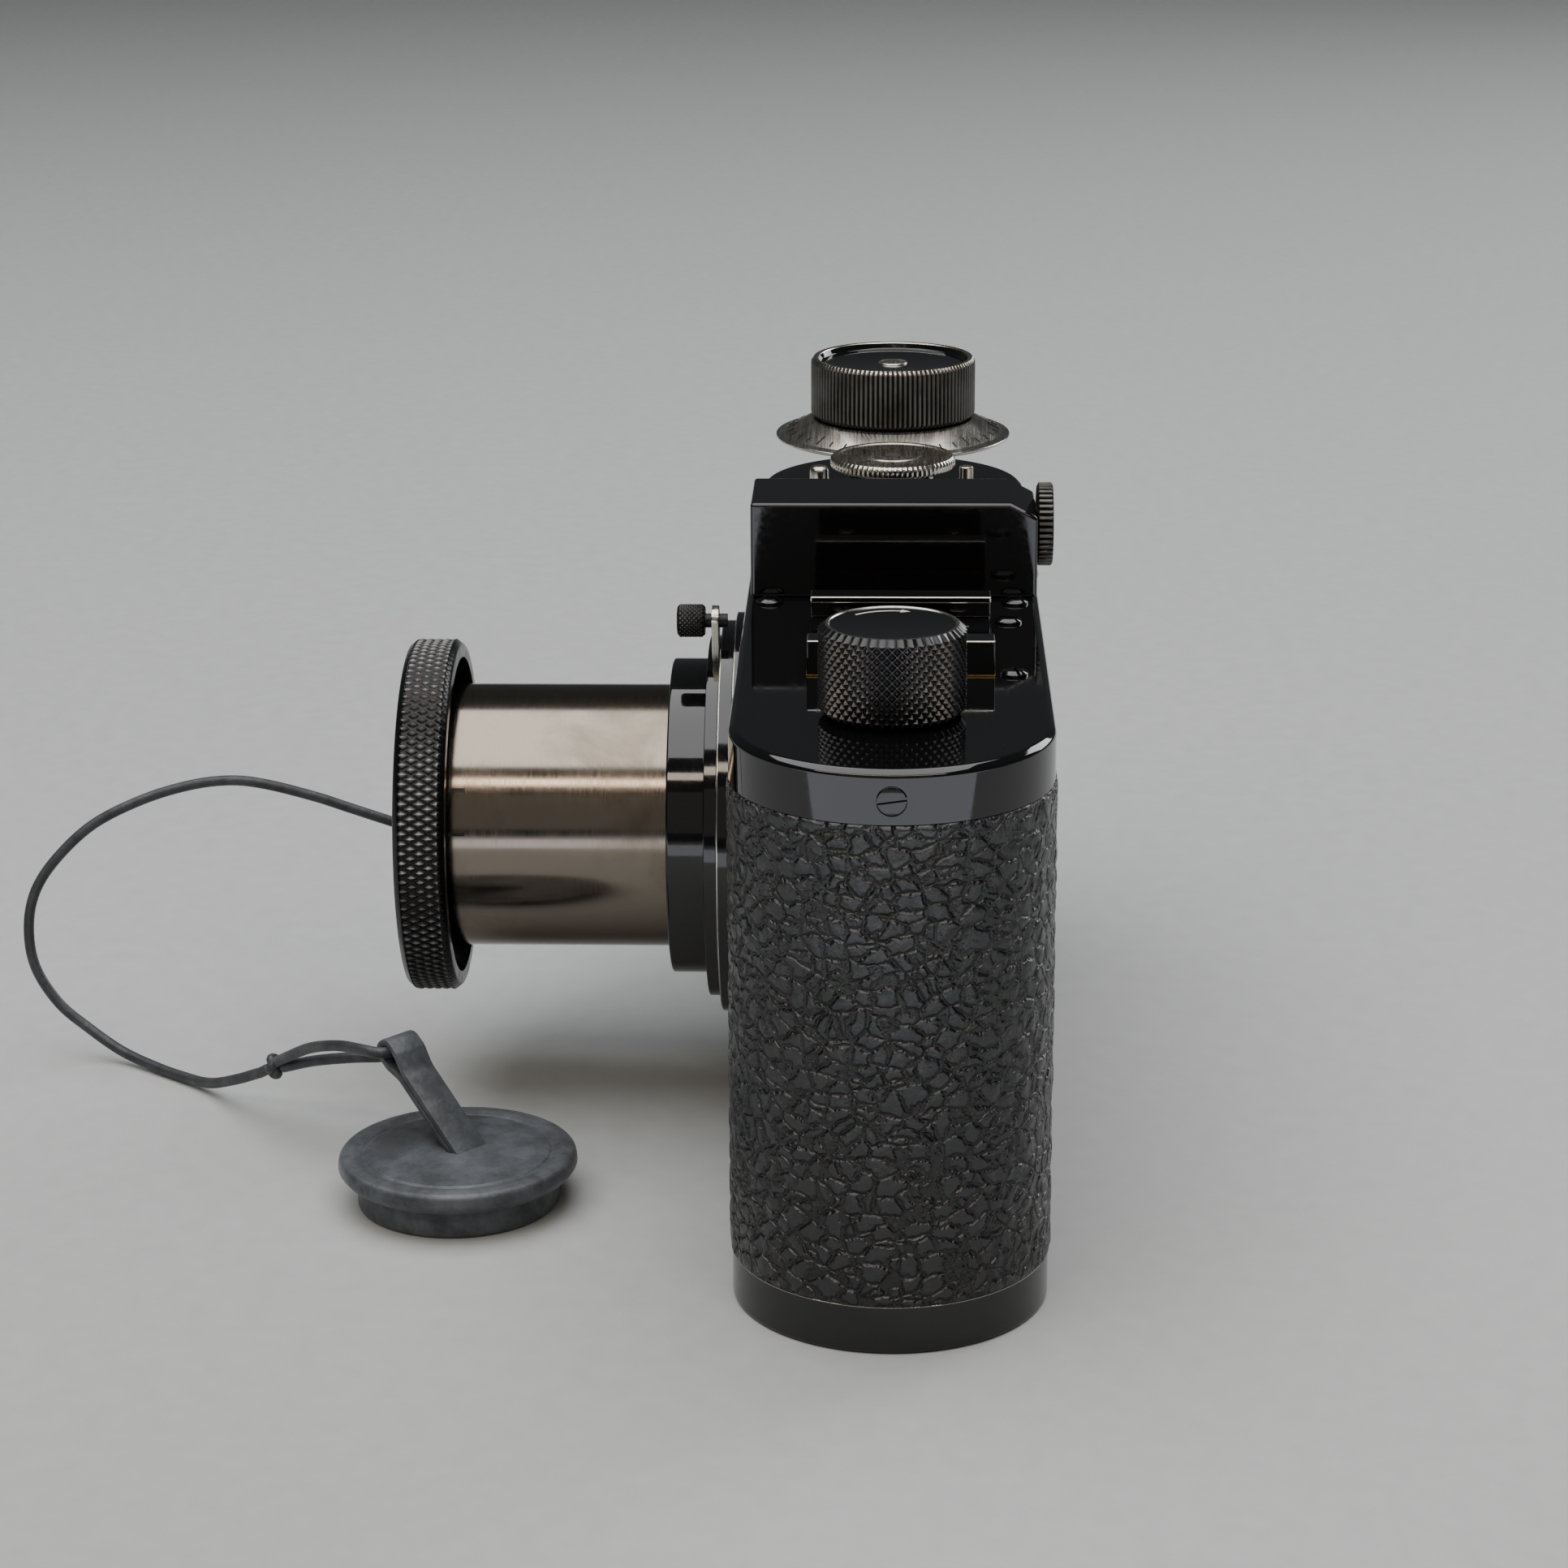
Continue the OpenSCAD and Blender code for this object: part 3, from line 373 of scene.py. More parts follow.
# Bright metal for edges: partly rubbed bare metal, partly a painted highlight where the edges catch the light.
EDGE_WEAR_AND_HIGHLIGHT = PlatedMetal("rubbed_edge_and_painted_highlight", bright="#c4c0b8", tarnish="#9a8e78", roughness=0.2)
BRASS = PlatedMetal("cut_brass", bright="#c9a352", tarnish="#8a6b32", roughness=0.3)
KNURL = KnurledBlack("knurled_black_brass")
DARK_KNURL = KnurledBlack("knurled_dark_nickel", flank="#161617", crest="#a09e99", worn_from=0.45, metallic=0.6)
MILLED = KnurledBlack("milled_black_metal", flank="#191919", crest="#77756f", worn_from=0.5, metallic=0.5,
                      low=0.3, high=0.45)
GLASS = OpticalGlass("uncoated_crown_glass")
CAP_LEATHER = DyedLeather("dyed_cap_leather")
LACE = DyedLeather("waxed_lace_leather", colour="#1f2124", rubbed="#3f4247", pore_mm=0.35, crease_mm=0.9)
WHITE_WAX = MottledCoat("white_engraving_wax", colour="#dedbd2", grain_mm=0.3)
BLACK_WAX = MottledCoat("black_engraving_wax", colour="#0c0c0c", grain_mm=0.3)
FRAME_METAL = MottledCoat("satin_sheet_aluminium", colour="#7a7b7e", metallic=1.0, roughness=0.42)
INSIDE_PAINT = MottledCoat("matt_black_inside_paint", colour="#0c0c0c", roughness=0.78)
CASSETTE = MottledCoat("black_cassette_enamel", colour="#1c1c1e", roughness=0.3)
CLOTH = MottledCoat("rubberised_silk", colour="#111113", roughness=0.75, grain_mm=0.25)
BLUED_STEEL = MottledCoat("blued_steel_leaf", colour="#2a2e36", metallic=1.0, roughness=0.35)


# ---------------------------------------------------------------- making meshes


class Axis(Enum):
    """The way that a turned piece points."""

    UP = Matrix.Identity(4)
    FORWARD = Matrix.Rotation(math.pi / 2, 4, "X")
    BACKWARD = Matrix.Rotation(-math.pi / 2, 4, "X")
    RIGHT = Matrix.Rotation(math.pi / 2, 4, "Y")
    LEFT = Matrix.Rotation(-math.pi / 2, 4, "Y")


def placed(at: Sequence[float], axis: Axis = Axis.UP, roll: float = 0.0) -> Matrix:
    """Returns the matrix that carries a piece drawn along +Z to a place and a heading.

    Args:
        at: The place, in millimetres.
        axis: The heading of the piece's own +Z.
        roll: A turn round that axis first, in degrees.

    Returns:
        The matrix, in millimetres.
    """
    return Matrix.Translation(at) @ axis.value @ Matrix.Rotation(math.radians(roll), 4, "Z")


def fillet(points: Sequence[tuple], steps: int = 4, closed: bool = True) -> list[Point2]:
    """Rounds the corners of an outline.

    Args:
        points: (x, y) or (x, y, radius) for each corner, in millimetres.
        steps: Straight pieces that make up each rounded corner.
        closed: Whether the last corner joins the first.

    Returns:
        The outline's points, with arcs in place of the corners that have a radius.
    """
    made: list[Point2] = []
    for i, corner in enumerate(points):
        here = Vector(corner[:2])
        radius = corner[2] if len(corner) > 2 else 0.0
        if radius <= 0 or (not closed and i in (0, len(points) - 1)):
            made.append(tuple(here))
            continue
        before = (Vector(points[i - 1][:2]) - here).normalized()
        after = (Vector(points[(i + 1) % len(points)][:2]) - here).normalized()
        half = before.angle(after) / 2
        centre = here + (before + after).normalized() * (radius / math.sin(half))
        start = here + before * (radius / math.tan(half)) - centre
        end = here + after * (radius / math.tan(half)) - centre
        made += [tuple(centre + start.normalized().slerp(end.normalized(), k / steps) * radius)
                 for k in range(steps + 1)]
    return made


def spun(profile: Sequence[Point2], steps: int = 128) -> bmesh.types.BMesh:
    """Spins a closed outline of (radius, height) round the Z axis.

    Args:
        profile: The outline's points, in millimetres.
        steps: Facets round the axis.

    Returns:
        A bmesh of the turned shape.
    """
    bm = bmesh.new()
    verts = [bm.verts.new((r, 0.0, h)) for r, h in profile]
    pairs = list(zip(verts, verts[1:] + verts[:1]))
    edges = [bm.edges.new(pair) for pair in pairs if max(pair[0].co.x, pair[1].co.x) > 1e-6]
    bmesh.ops.spin(bm, geom=verts + edges, cent=(0, 0, 0), axis=(0, 0, 1), angle=TAU, steps=steps,
                   use_merge=True, use_duplicate=False)
    bmesh.ops.remove_doubles(bm, verts=bm.verts, dist=1e-5)
    bmesh.ops.delete(bm, geom=[v for v in bm.verts if not v.link_faces], context="VERTS")
    bmesh.ops.recalc_face_normals(bm, faces=bm.faces)
    return bm


def pill_swept(profile: Sequence[Point2], run: float, end_steps: int = 72, run_steps: int = 1) -> bmesh.types.BMesh:
    """Sweeps an open outline of (distance from the middle line, height) round the body's pill-shaped plan.

    Args:
        profile: The outline's points, in millimetres.
        run: Half the length of the straight sides.
        end_steps: Facets round each end.
        run_steps: Facets along each straight side.

    Returns:
        A bmesh of the swept shape.
    """
    bm = bmesh.new()
    verts = [bm.verts.new((run, -d, h)) for d, h in profile]
    geom: list = verts + [bm.edges.new(pair) for pair in zip(verts, verts[1:])]
    for centre, heading in ((run, -1.0), (-run, 1.0)):
        geom = bmesh.ops.spin(bm, geom=geom, cent=(centre, 0, 0), axis=(0, 0, 1), angle=math.pi,
                              steps=end_steps, use_duplicate=False)["geom_last"]
        geom = bmesh.ops.spin(bm, geom=geom, cent=(0, 0, 0), axis=(0, 0, 1), angle=0.0, steps=run_steps,
                              dvec=(heading * 2 * run / run_steps, 0, 0), use_duplicate=False)["geom_last"]
    bmesh.ops.remove_doubles(bm, verts=bm.verts, dist=1e-3)
    bmesh.ops.recalc_face_normals(bm, faces=bm.faces)
    return bm


def block(size: Sequence[float], centre: Sequence[float], bevel: float = 0.0, segments: int = 3) -> bmesh.types.BMesh:
    """Makes a box with rounded edges.

    Args:
        size: Its three sizes, in millimetres.
        centre: Its middle.
        bevel: Radius of its edges.
        segments: Facets across each rounded edge.

    Returns:
        A bmesh of the box.
    """
    bm = bmesh.new()
    bmesh.ops.create_cube(bm, size=1.0)
    bmesh.ops.scale(bm, vec=size, verts=bm.verts)
    bmesh.ops.translate(bm, vec=centre, verts=bm.verts)
    if bevel > 0:
        round_edges(bm, list(bm.edges), bevel, segments)
    return bm


def round_edges(bm: bmesh.types.BMesh, edges: list, radius: float, segments: int = 3) -> None:
    """Bevels edges of a bmesh to a radius, in its own units."""
    bmesh.ops.bevel(bm, geom=edges, offset=radius, offset_type="OFFSET", segments=segments, profile=0.5,
                    affect="EDGES", clamp_overlap=True, material=-1)


def extruded(outline: Sequence[Point2], height: float, bevel: float = 0.0, segments: int = 3) -> bmesh.types.BMesh:
    """Extrudes a flat outline up along Z and rounds its sharp edges.

    Args:
        outline: The outline's points, in millimetres.
        height: How far it is extruded.
        bevel: Radius of its sharp edges.
        segments: Facets across each rounded edge.

    Returns:
        A bmesh of the prism.
    """
    bm = bmesh.new()
    face = bm.faces.new([bm.verts.new((x, y, 0.0)) for x, y in outline])
    made = bmesh.ops.extrude_face_region(bm, geom=[face])["geom"]
    bmesh.ops.translate(bm, vec=(0, 0, height), verts=[v for v in made if isinstance(v, bmesh.types.BMVert)])
    bmesh.ops.recalc_face_normals(bm, faces=bm.faces)
    if bevel > 0:
        round_edges(bm, [e for e in bm.edges if e.calc_face_angle(0.0) > 0.5], bevel, segments)
    return bm


def finished(bm: bmesh.types.BMesh, name: str, finish: Finish, place: Optional[Matrix] = None,
             sharp: float = 40.0, broad: bool = True) -> bpy.types.Object:
    """Turns a bmesh in millimetres into a finished object in metres, at the origin.

    Args:
        bm: The mesh so far; it is freed.
        name: The piece's name.
        finish: The finish of its material slot.
        place: Where the piece goes, in millimetres.
        sharp: Edges steeper than this many degrees stay sharp.
        broad: Whether broad faces keep their own shading beside small rounded edges.

    Returns:
        The new object.
    """
    if place is not None:
        bmesh.ops.transform(bm, matrix=place, verts=bm.verts)
    bmesh.ops.scale(bm, vec=(MM, MM, MM), verts=bm.verts)
    mesh = bpy.data.meshes.new(name)
    bm.to_mesh(mesh)
    bm.free()
    mesh.materials.append(finish.material())
    mesh.shade_smooth()
    mesh.set_sharp_from_angle(angle=math.radians(sharp))
    piece = bpy.data.objects.new(name, mesh)
    bpy.context.scene.collection.objects.link(piece)
    if broad:
        piece.modifiers.new("broad_faces", "WEIGHTED_NORMAL").keep_sharp = True
    return piece


def turned(profile: Sequence[Point2], name: str, finish: Finish, at: Sequence[float] = (0, 0, 0),
           axis: Axis = Axis.UP, steps: int = 128) -> bpy.types.Object:
    """Makes a turned piece from its outline of (radius, height) and puts it in place.

    Args:
        profile: The outline's points, in millimetres.
        name: The piece's name.
        finish: Its finish.
        at: A place on its axis, where its height is 0.
        axis: The way its axis points.
        steps: Facets round it.

    Returns:
        The new object.
    """
    return finished(spun(profile, steps), name, finish, placed(at, axis))


def cut(piece: bpy.types.Object, *tools: bmesh.types.BMesh) -> bpy.types.Object:
    """Cuts shapes, drawn in millimetres, out of a piece.

    Args:
        piece: The piece to cut.
        tools: The shapes to take out of it; they are freed.

    Returns:
        The piece.
    """
    broad = "broad_faces" in piece.modifiers
    piece.modifiers.clear()
    for tool in tools:
        cutter = finished(tool, piece.name + "_tool", INSIDE_PAINT, broad=False)
        modifier = piece.modifiers.new("cut", "BOOLEAN")
        modifier.object, modifier.operation, modifier.solver = cutter, "DIFFERENCE", "EXACT"
        made = bpy.data.meshes.new_from_object(piece.evaluated_get(bpy.context.evaluated_depsgraph_get()))
        piece.modifiers.clear()
        old, piece.data = piece.data, made
        bpy.data.meshes.remove(old)
        bpy.data.objects.remove(cutter)
    piece.data.name = piece.name
    while len(piece.data.materials) > 1:
        piece.data.materials.pop()
    piece.data.shade_smooth()
    piece.data.set_sharp_from_angle(angle=math.radians(40))
    if broad:
        piece.modifiers.new("broad_faces", "WEIGHTED_NORMAL").keep_sharp = True
    return piece


def joined(parts: Sequence[bpy.types.Object], name: str) -> bpy.types.Object:
    """Joins objects that make up one piece, and returns it."""
    with bpy.context.temp_override(active_object=parts[0], selected_editable_objects=list(parts)):
        bpy.ops.object.join()
    parts[0].name = parts[0].data.name = name
    return parts[0]


def install(piece: bpy.types.Object, body: str, slot: str, *replaced: str) -> bpy.types.Object:
    """Makes a piece ride on a body and stand for CAD nodes.

    Args:
        piece: The finished piece.
        body: The body that it moves with.
        slot: A material slot's name; it is not used.
        replaced: The CAD nodes that it stands for.

    Returns:
        The piece.
    """
    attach(piece, body)
    if replaced:
        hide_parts(*replaced)
    LOG.info("%s rides on %s: %d faces", piece.name, body, len(piece.data.polygons))
    return piece


def corners(node: str) -> tuple[Vector, Vector]:
    """Returns a CAD node's lowest and highest corners, in millimetres."""
    low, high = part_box(node)
    return low / MM, high / MM


class Knurl(Enum):
    """The two knurls on the controls."""

    DIAMOND = "diamond"
    STRAIGHT = "straight"


@dataclass
class KnurledBand:
    """A knurl pressed into the round wall of a turned piece."""

    radius: float
    low: float
    high: float
    teeth: int
    pitch: float = 1.0
    depth: float = 0.25
    kind: Knurl = Knurl.DIAMOND
    per_tooth: int = 6

    def wall(self) -> list[Point2]:
        """Returns the wall's points, from low to high, close enough for the knurl."""
        rows = max(1, round((self.high - self.low) / self.pitch * self.per_tooth)) if self.kind is Knurl.DIAMOND else 2
        return [(self.radius, self.low + (self.high - self.low) * k / rows) for k in range(rows + 1)]

    def height(self, turn: float, step: float) -> float:
        """Returns the crest height, from 0 in a groove to 1.

        Args:
            turn: Place round the wall, in teeth.
            step: Place up the wall, in pitches.

        Returns:
            The height.
        """
        climb, fall = (1 - 2 * abs((turn + side * step) % 1.0 - 0.5) for side in (1, -1))
        if self.kind is Knurl.DIAMOND:
            return min(climb, fall, 0.88) / 0.88
        return min(1.0, 1.5 * (1 - 2 * abs(turn % 1.0 - 0.5)))

    def press(self, bm: bmesh.types.BMesh) -> bmesh.types.BMesh:
        """Presses the knurl into a turned bmesh and stores its height for the finish.

        Args:
            bm: The turned shape, its axis on Z.

        Returns:
            The same bmesh.
        """
        relief = bm.verts.layers.float.get("relief") or bm.verts.layers.float.new("relief")
        for vertex in bm.verts:
            reach = vertex.co.xy.length
            if abs(reach - self.radius) > 1e-3 or not self.low - 1e-3 < vertex.co.z < self.high + 1e-3:
                continue
            turn = math.atan2(vertex.co.y, vertex.co.x) / TAU * self.teeth
            height = self.height(turn, (vertex.co.z - self.low) / self.pitch)
            vertex[relief] = height
            vertex.co.xy *= 1 - self.depth * (1 - height) / reach
        return bm


# ---------------------------------------------------------------- sub-assemblies


@dataclass
class Body:
    """The outside of the body: grained covering, top and base covers, their screws and the base fittings."""

    grid: float = 0.45
    pebble: float = 2.4
    relief: float = 0.26
    covering_wall: float = 0.8
    plate_wall: float = 1.2
    skirt_wall: float = 0.5
    screw_r: float = 1.4
    slot_w: float = 0.34

    def __post_init__(self) -> None:
        """Reads the covers' sizes from the frame."""
        low, high = corners("top_cover")
        self.radius = (high.y - low.y) / 2
        self.run = high.x - self.radius
        self.top, self.skirt = high.z, low.z
        self.base = corners("base_cover")[1].z

    def build(self) -> None:
        """Builds every outside piece of the body."""
        self.covering()
        self.top_cover()
        self.base_cover()
        self.screws()
        self.base_fittings()

    def pebbles(self, place: Vector) -> float:
        """Returns the height of the covering's soft lumps.

        Args:
            place: A point on the covering, in millimetres.

        Returns:
            The height, from 0 in a hollow to 1 on the tallest lump.
        """
        drift = noise.noise_vector(place * 0.16) * 2.4
        distance, seed = noise.voronoi((place + drift) / self.pebble)
        hollow = min(1.0, (distance[1] - distance[0]) / 0.55)
        return hollow * (2 - hollow) * (0.8 + 0.2 * noise.noise(seed[0] * 5.1))

    def covering(self) -> None:
        """Presses the pebble grain into the covering as real relief, inwards from its CAD face."""
        low, high = corners("grained_covering")
        outer = (high.y - low.y) / 2
        rows = round((high.z - low.z) / self.grid)
        wall = [(outer, low.z + (high.z - low.z) * k / rows) for k in range(rows + 1)]
        inner = outer - self.covering_wall
        bm = pill_swept([(inner, low.z)] + wall + [(inner, high.z)], self.run,
                        round(math.pi * outer / self.grid), round(2 * self.run / self.grid))
        ring_low, ring_high = corners("lens_flange")
        axis, reach = (ring_low + ring_high) / 2, (ring_high.x - ring_low.x) / 2 - 0.6
        behind = [f for f in bm.faces if f.calc_center_median().y < 0
                  and (f.calc_center_median() - axis).xz.length < reach]
        bmesh.ops.delete(bm, geom=behind, context="FACES")
        for vertex in bm.verts:
            middle = Vector((max(-self.run, min(self.run, vertex.co.x)), 0, vertex.co.z))
            outward = vertex.co - middle
            if outward.length < outer - 0.1:
                continue
            edge = min(1.0, min(vertex.co.z - low.z, high.z - vertex.co.z) / 0.4)
            height = self.pebbles(vertex.co) * (0.4 + 0.6 * edge)
            vertex.co -= outward.normalized() * self.relief * (1 - height)
        install(finished(bm, "pebbled_covering", VULCANITE, sharp=180, broad=False), "root", "vulcanite",
                "grained_covering")

    def top_cover(self) -> None:
        """Builds the top cover with its rounded edge."""
        r, top = self.radius, self.top
        profile = fillet([(0, top), (r - 0.62, top, 0.6), (r, top - 0.5, 0.55), (r, self.skirt, 0.1),
                          (r - self.skirt_wall, self.skirt), (r - self.skirt_wall, top - self.plate_wall),
                          (0, top - self.plate_wall)], 6, closed=False)
        cover = finished(pill_swept(profile, self.run, 96), "lacquered_top_cover", LACQUER)
        holes = []
        for side, axis in ((1, Axis.RIGHT), (-1, Axis.LEFT)):
            hole = spun([(0, -0.55), (self.screw_r + 0.05, -0.55), (self.screw_r + 0.05, 1), (0, 1)], 64)
            bmesh.ops.transform(hole, matrix=placed((side * (self.run + r), 0, top - 2.9), axis), verts=hole.verts)
            holes.append(hole)
        for node, radius in (("rewind_shaft", 1.66), ("wind_shaft", 1.66), ("release_button", 0.96),
                             ("curtain_drum", 1.06), ("reversing_lever", 1.06)):
            low, high = corners(node)
            hole = spun([(0, top - 3), (radius, top - 3), (radius, top + 1), (0, top + 1)], 48)
            x = low.x + 1.8 if node == "reversing_lever" else (low.x + high.x) / 2
            bmesh.ops.translate(hole, vec=(x, (low.y + high.y) / 2, 0), verts=hole.verts)
            holes.append(hole)
        low, high = corners("lens_flange")
        reach = (high.x - low.x) / 2 + 0.1
        mouth = spun([(0, 5), (reach, 5), (reach, r + 5), (0, r + 5)], 192)
        bmesh.ops.transform(mouth, matrix=placed(((low.x + high.x) / 2, 0, (low.z + high.z) / 2), Axis.FORWARD),
                            verts=mouth.verts)
        cut(cover, *holes, mouth)
        install(cover, "root", "black_lacquer", "top_cover")

    def base_cover(self) -> None:
        """Builds the base cover, with bright metal along its upper lip: partly rubbed-off lacquer, partly a painted
        highlight.
        """
        r, rim = self.radius, self.base
        profile = fillet([(0, 0), (r, 0, 0.5), (r, rim - 0.02, 0.12), (r - 0.45, rim - 0.02),
                          (r - 0.45, 1.0), (0, 1.0)], 5, closed=False)
        cover = finished(pill_swept(profile, self.run, 96), "lacquered_base_cover", LACQUER)
        holes = []
        for node, radius in (("base_lock_key", 6.56), ("tripod_bush", 5.8)):
            low, high = corners(node)
            hole = spun([(0, -1), (radius, -1), (radius, 3), (0, 3)], 96)
            bmesh.ops.translate(hole, vec=((low.x + high.x) / 2, 0, 0), verts=hole.verts)
            holes.append(hole)
        cut(cover, *holes)
        # Painted highlight and wear: the upper lip's faces take the bright edge metal.
        cover.data.materials.append(EDGE_WEAR_AND_HIGHLIGHT.material())
        for face in cover.data.polygons:
            face.material_index = int(face.center.z > (rim - 0.15) * MM and face.normal.z > 0.05)
        install(cover, "base", "black_lacquer", "base_cover")

    def slotted(self, bm: bmesh.types.BMesh, place: Matrix, top: float) -> bpy.types.Object:
        """Cuts a driver slot across a screw head and puts the head in place.

        Args:
            bm: The head, drawn upright on the origin.
            place: Where it goes, in millimetres.
            top: Height of its highest point.

        Returns:
            The head.
        """
        head = cut(finished(bm, "screw_head", LACQUER), block((5 * self.screw_r, self.slot_w, 0.7), (0, 0, top)))
        head.data.transform(Matrix.Scale(MM, 4) @ place @ Matrix.Scale(1 / MM, 4))
        return head

    def screws(self) -> None:
        """Builds the dome screws on the top plate and the flush screws in the ends."""
        r, heads = self.screw_r, []
        dome = fillet([(0, -0.4), (r, -0.4), (r, 0.25, 0.15), (r * 0.62, 0.56, 0.5), (0, 0.6)], 4)
        for x, y, roll in ((34, 12, 20), (14, 12, 75), (6.2, 12.9, 130), (6.2, -12.9, 50)):
            heads.append(self.slotted(spun(dome, 48), placed((x, y, self.top), roll=roll), 0.6))
        flush = fillet([(0, -0.5), (r, -0.5), (r, 0.03, 0.1), (0, 0.03)], 3)
        for side, axis in ((1, Axis.RIGHT), (-1, Axis.LEFT)):
            at = (side * (self.run + self.radius - 0.03), 0, self.top - 2.9)
            heads.append(self.slotted(spun(flush, 64), placed(at, axis, 98), 0.1))
        install(joined(heads, "cover_screw_heads"), "root", "black_lacquer", "cover_screws")

    def base_fittings(self) -> None:
        """Builds the lock key in the base and the tripod bush with its thread."""
        low, high = corners("base_lock_key")
        x, r = (low.x + high.x) / 2, 6.5
        key = turned(fillet([(0, 0.12), (r, 0.12, 0.2), (r, 1.0), (0, 1.0)], 4), "lock_disc", NICKEL, (x, 0, 0))
        cut(key, block((2 * r - 2, 1.6, 1.4), (x, 0, 0)))
        stem = turned([(0, 0.9), (2, 0.9), (2, 2.4), (0, 2.4)], "lock_stem", NICKEL, (x, 0, 0), steps=48)
        cam = finished(block((4, 15, 0.9), (x, 0, 2.85), 0.15), "lock_cam", NICKEL)
        install(joined([key, stem, cam], "base_lock"), "base_lock", "nickel", "base_lock_key")
        low, high = corners("tripod_bush")
        pitch, minor, depth = 1.5875, 4.1, 0.55
        thread: list[Point2] = []
        for k in range(int((high.z - 0.3) / pitch)):
            thread += [(minor + depth, high.z - 0.1 - k * pitch), (minor, high.z - 0.1 - (k + 0.5) * pitch)]
        wall = thread + [(minor + depth, 0.3), (minor + depth + 0.3, 0.05)]
        outer = [(5.8, 0.05), (5.8, 1.0), (7.2, 1.0), (7.2, 2.0), (5.8, 2.0), (5.8, high.z)]
        bush = turned(outer + wall, "tripod_thread_bush", NICKEL, ((low.x + high.x) / 2, 0, 0), steps=64)
        install(bush, "base", "nickel", "tripod_bush")


@dataclass
class TopFittings:
    """The accessory shoe, the finder box and its eyepiece."""

    edge: float = 0.42
    lip_edge: float = 0.16

    def build(self) -> None:
        """Builds the shoe, its screws and the finder."""
        self.shoe()
        self.finder()
        self.eyepiece()

    def shoe(self) -> None:
        """Builds the folded sheet shoe, its lips in bright metal (rubbed wear and a painted highlight), and the brass
        line where it is cut at the foot.
        """
        low, high = corners("accessory_shoe")
        x, y, wide, long = (low.x + high.x) / 2, (low.y + high.y) / 2, high.x - low.x, high.y - low.y
        h, half = high.z - low.z, wide / 2
        outline = [(-half, 0), (half, 0), (half, h), (half - 2.95, h), (half - 2.95, h - 0.7), (half - 0.75, h - 0.7),
                   (half - 0.75, 0.9), (0.75 - half, 0.9), (0.75 - half, h - 0.7), (2.95 - half, h - 0.7),
                   (2.95 - half, h), (-half, h)]
        rail = finished(extruded(outline, long, self.lip_edge), "accessory_rail", LACQUER,
                        placed((x, y + long / 2, low.z), Axis.FORWARD))
        # Painted highlight and wear: the rounded faces of the upper lips take the bright edge metal.
        rail.data.materials.append(EDGE_WEAR_AND_HIGHLIGHT.material())
        for face in rail.data.polygons:
            rounded = 0.1 < abs(face.normal.z) < 0.95 or 0.1 < abs(face.normal.y) < 0.95
            face.material_index = int(rounded and face.center.z > (low.z + 2.9) * MM)
        foot = finished(block((wide + 0.12, long + 0.12, 0.16), (x, y, low.z + 0.08), 0.05, 2), "brass_foot", BRASS)
        install(joined([rail, foot], "accessory_shoe_rail"), "root", "black_lacquer", "accessory_shoe")
        heads = []
        for sx in (-6, 6):
            for sy in (-6, 6):
                dome = fillet([(0, -0.3), (1, -0.3), (1, 0.02, 0.08), (0, 0.06)], 3)
                place = placed((x + sx, y + sy, low.z + 0.9), roll=23 * sx + 11 * sy)
                head = cut(finished(spun(dome, 48), "screw", NICKEL), block((4, 0.26, 0.5), (0, 0, 0.06)))
                head.data.transform(Matrix.Scale(MM, 4) @ place @ Matrix.Scale(1 / MM, 4))
                heads.append(head)
        install(joined(heads, "shoe_screw_heads"), "root", "nickel", "shoe_screws")

    def finder(self) -> None:
        """Builds the finder box, hollow, with its window, eyepiece bore and chamfered back."""
        low, high = corners("finder_housing")
        x, wide, h = (low.x + high.x) / 2, high.x - low.x, high.z - low.z
        outline = [(-high.y, 0), (-low.y, 0), (-low.y, h), (2.9 - high.y, h), (-high.y, h - 1.5)]
        box = finished(extruded(outline, wide, self.edge, 4), "finder_box", LACQUER,
                       Matrix.Translation((high.x, 0, low.z)) @ Matrix.Rotation(math.pi / 2, 4, "X")
                       @ Matrix.Rotation(-math.pi / 2, 4, "Y"))
        window_low, window_high = corners("finder_front_glass")
        glass = (window_low + window_high) / 2
        eye_low, eye_high = corners("eyepiece_ring")
        eye = (eye_low + eye_high) / 2
        hollow = block((wide - 2.2, high.y - low.y - 6, h - 2.2), (x, (low.y + high.y) / 2 - 1, low.z + h / 2))
        window = block((8, 5, 6.6), (x, low.y + 1, low.z + 5.1), 0.4)
        bore = spun([(0, -8), (2.0, -8), (2.0, 3), (0, 3)], 48)
        bmesh.ops.transform(bore, matrix=placed((eye.x, high.y, eye.z), Axis.BACKWARD), verts=bore.verts)
        cut(box, hollow, window, bore)
        tiny = self.tiny_screw((eye.x + 1.2, high.y, low.z + 1.4))
        install(joined([box, tiny], "finder_body"), "root", "black_lacquer", "finder_housing")
        size = window_high - window_low
        lens = finished(block(size - Vector((0.02, 0.02, 0.02)), glass, 0.15), "finder_window", GLASS)
        install(lens, "root", "glass", "finder_front_glass")
        low, high = corners("finder_rear_glass")
        r, long = (high.z - low.z) / 2 - 0.01, high.y - low.y
        profile = fillet([(0, 0), (r, 0, 0.1), (r, long - 0.35, 0.1), (r * 0.5, long - 0.08, 2.0), (0, long)], 4)
        rear = turned(profile, "finder_eye_glass", GLASS, ((low.x + high.x) / 2, low.y, (low.z + high.z) / 2),
                      Axis.BACKWARD, 64)
        install(rear, "root", "glass", "finder_rear_glass")

    def tiny_screw(self, at: Point3) -> bpy.types.Object:
        """Returns the small dome screw on the finder's back."""
        dome = fillet([(0, -0.3), (0.75, -0.3), (0.75, 0.12, 0.1), (0, 0.32)], 3)
        return turned(dome, "back_screw", LACQUER, at, Axis.BACKWARD, 40)

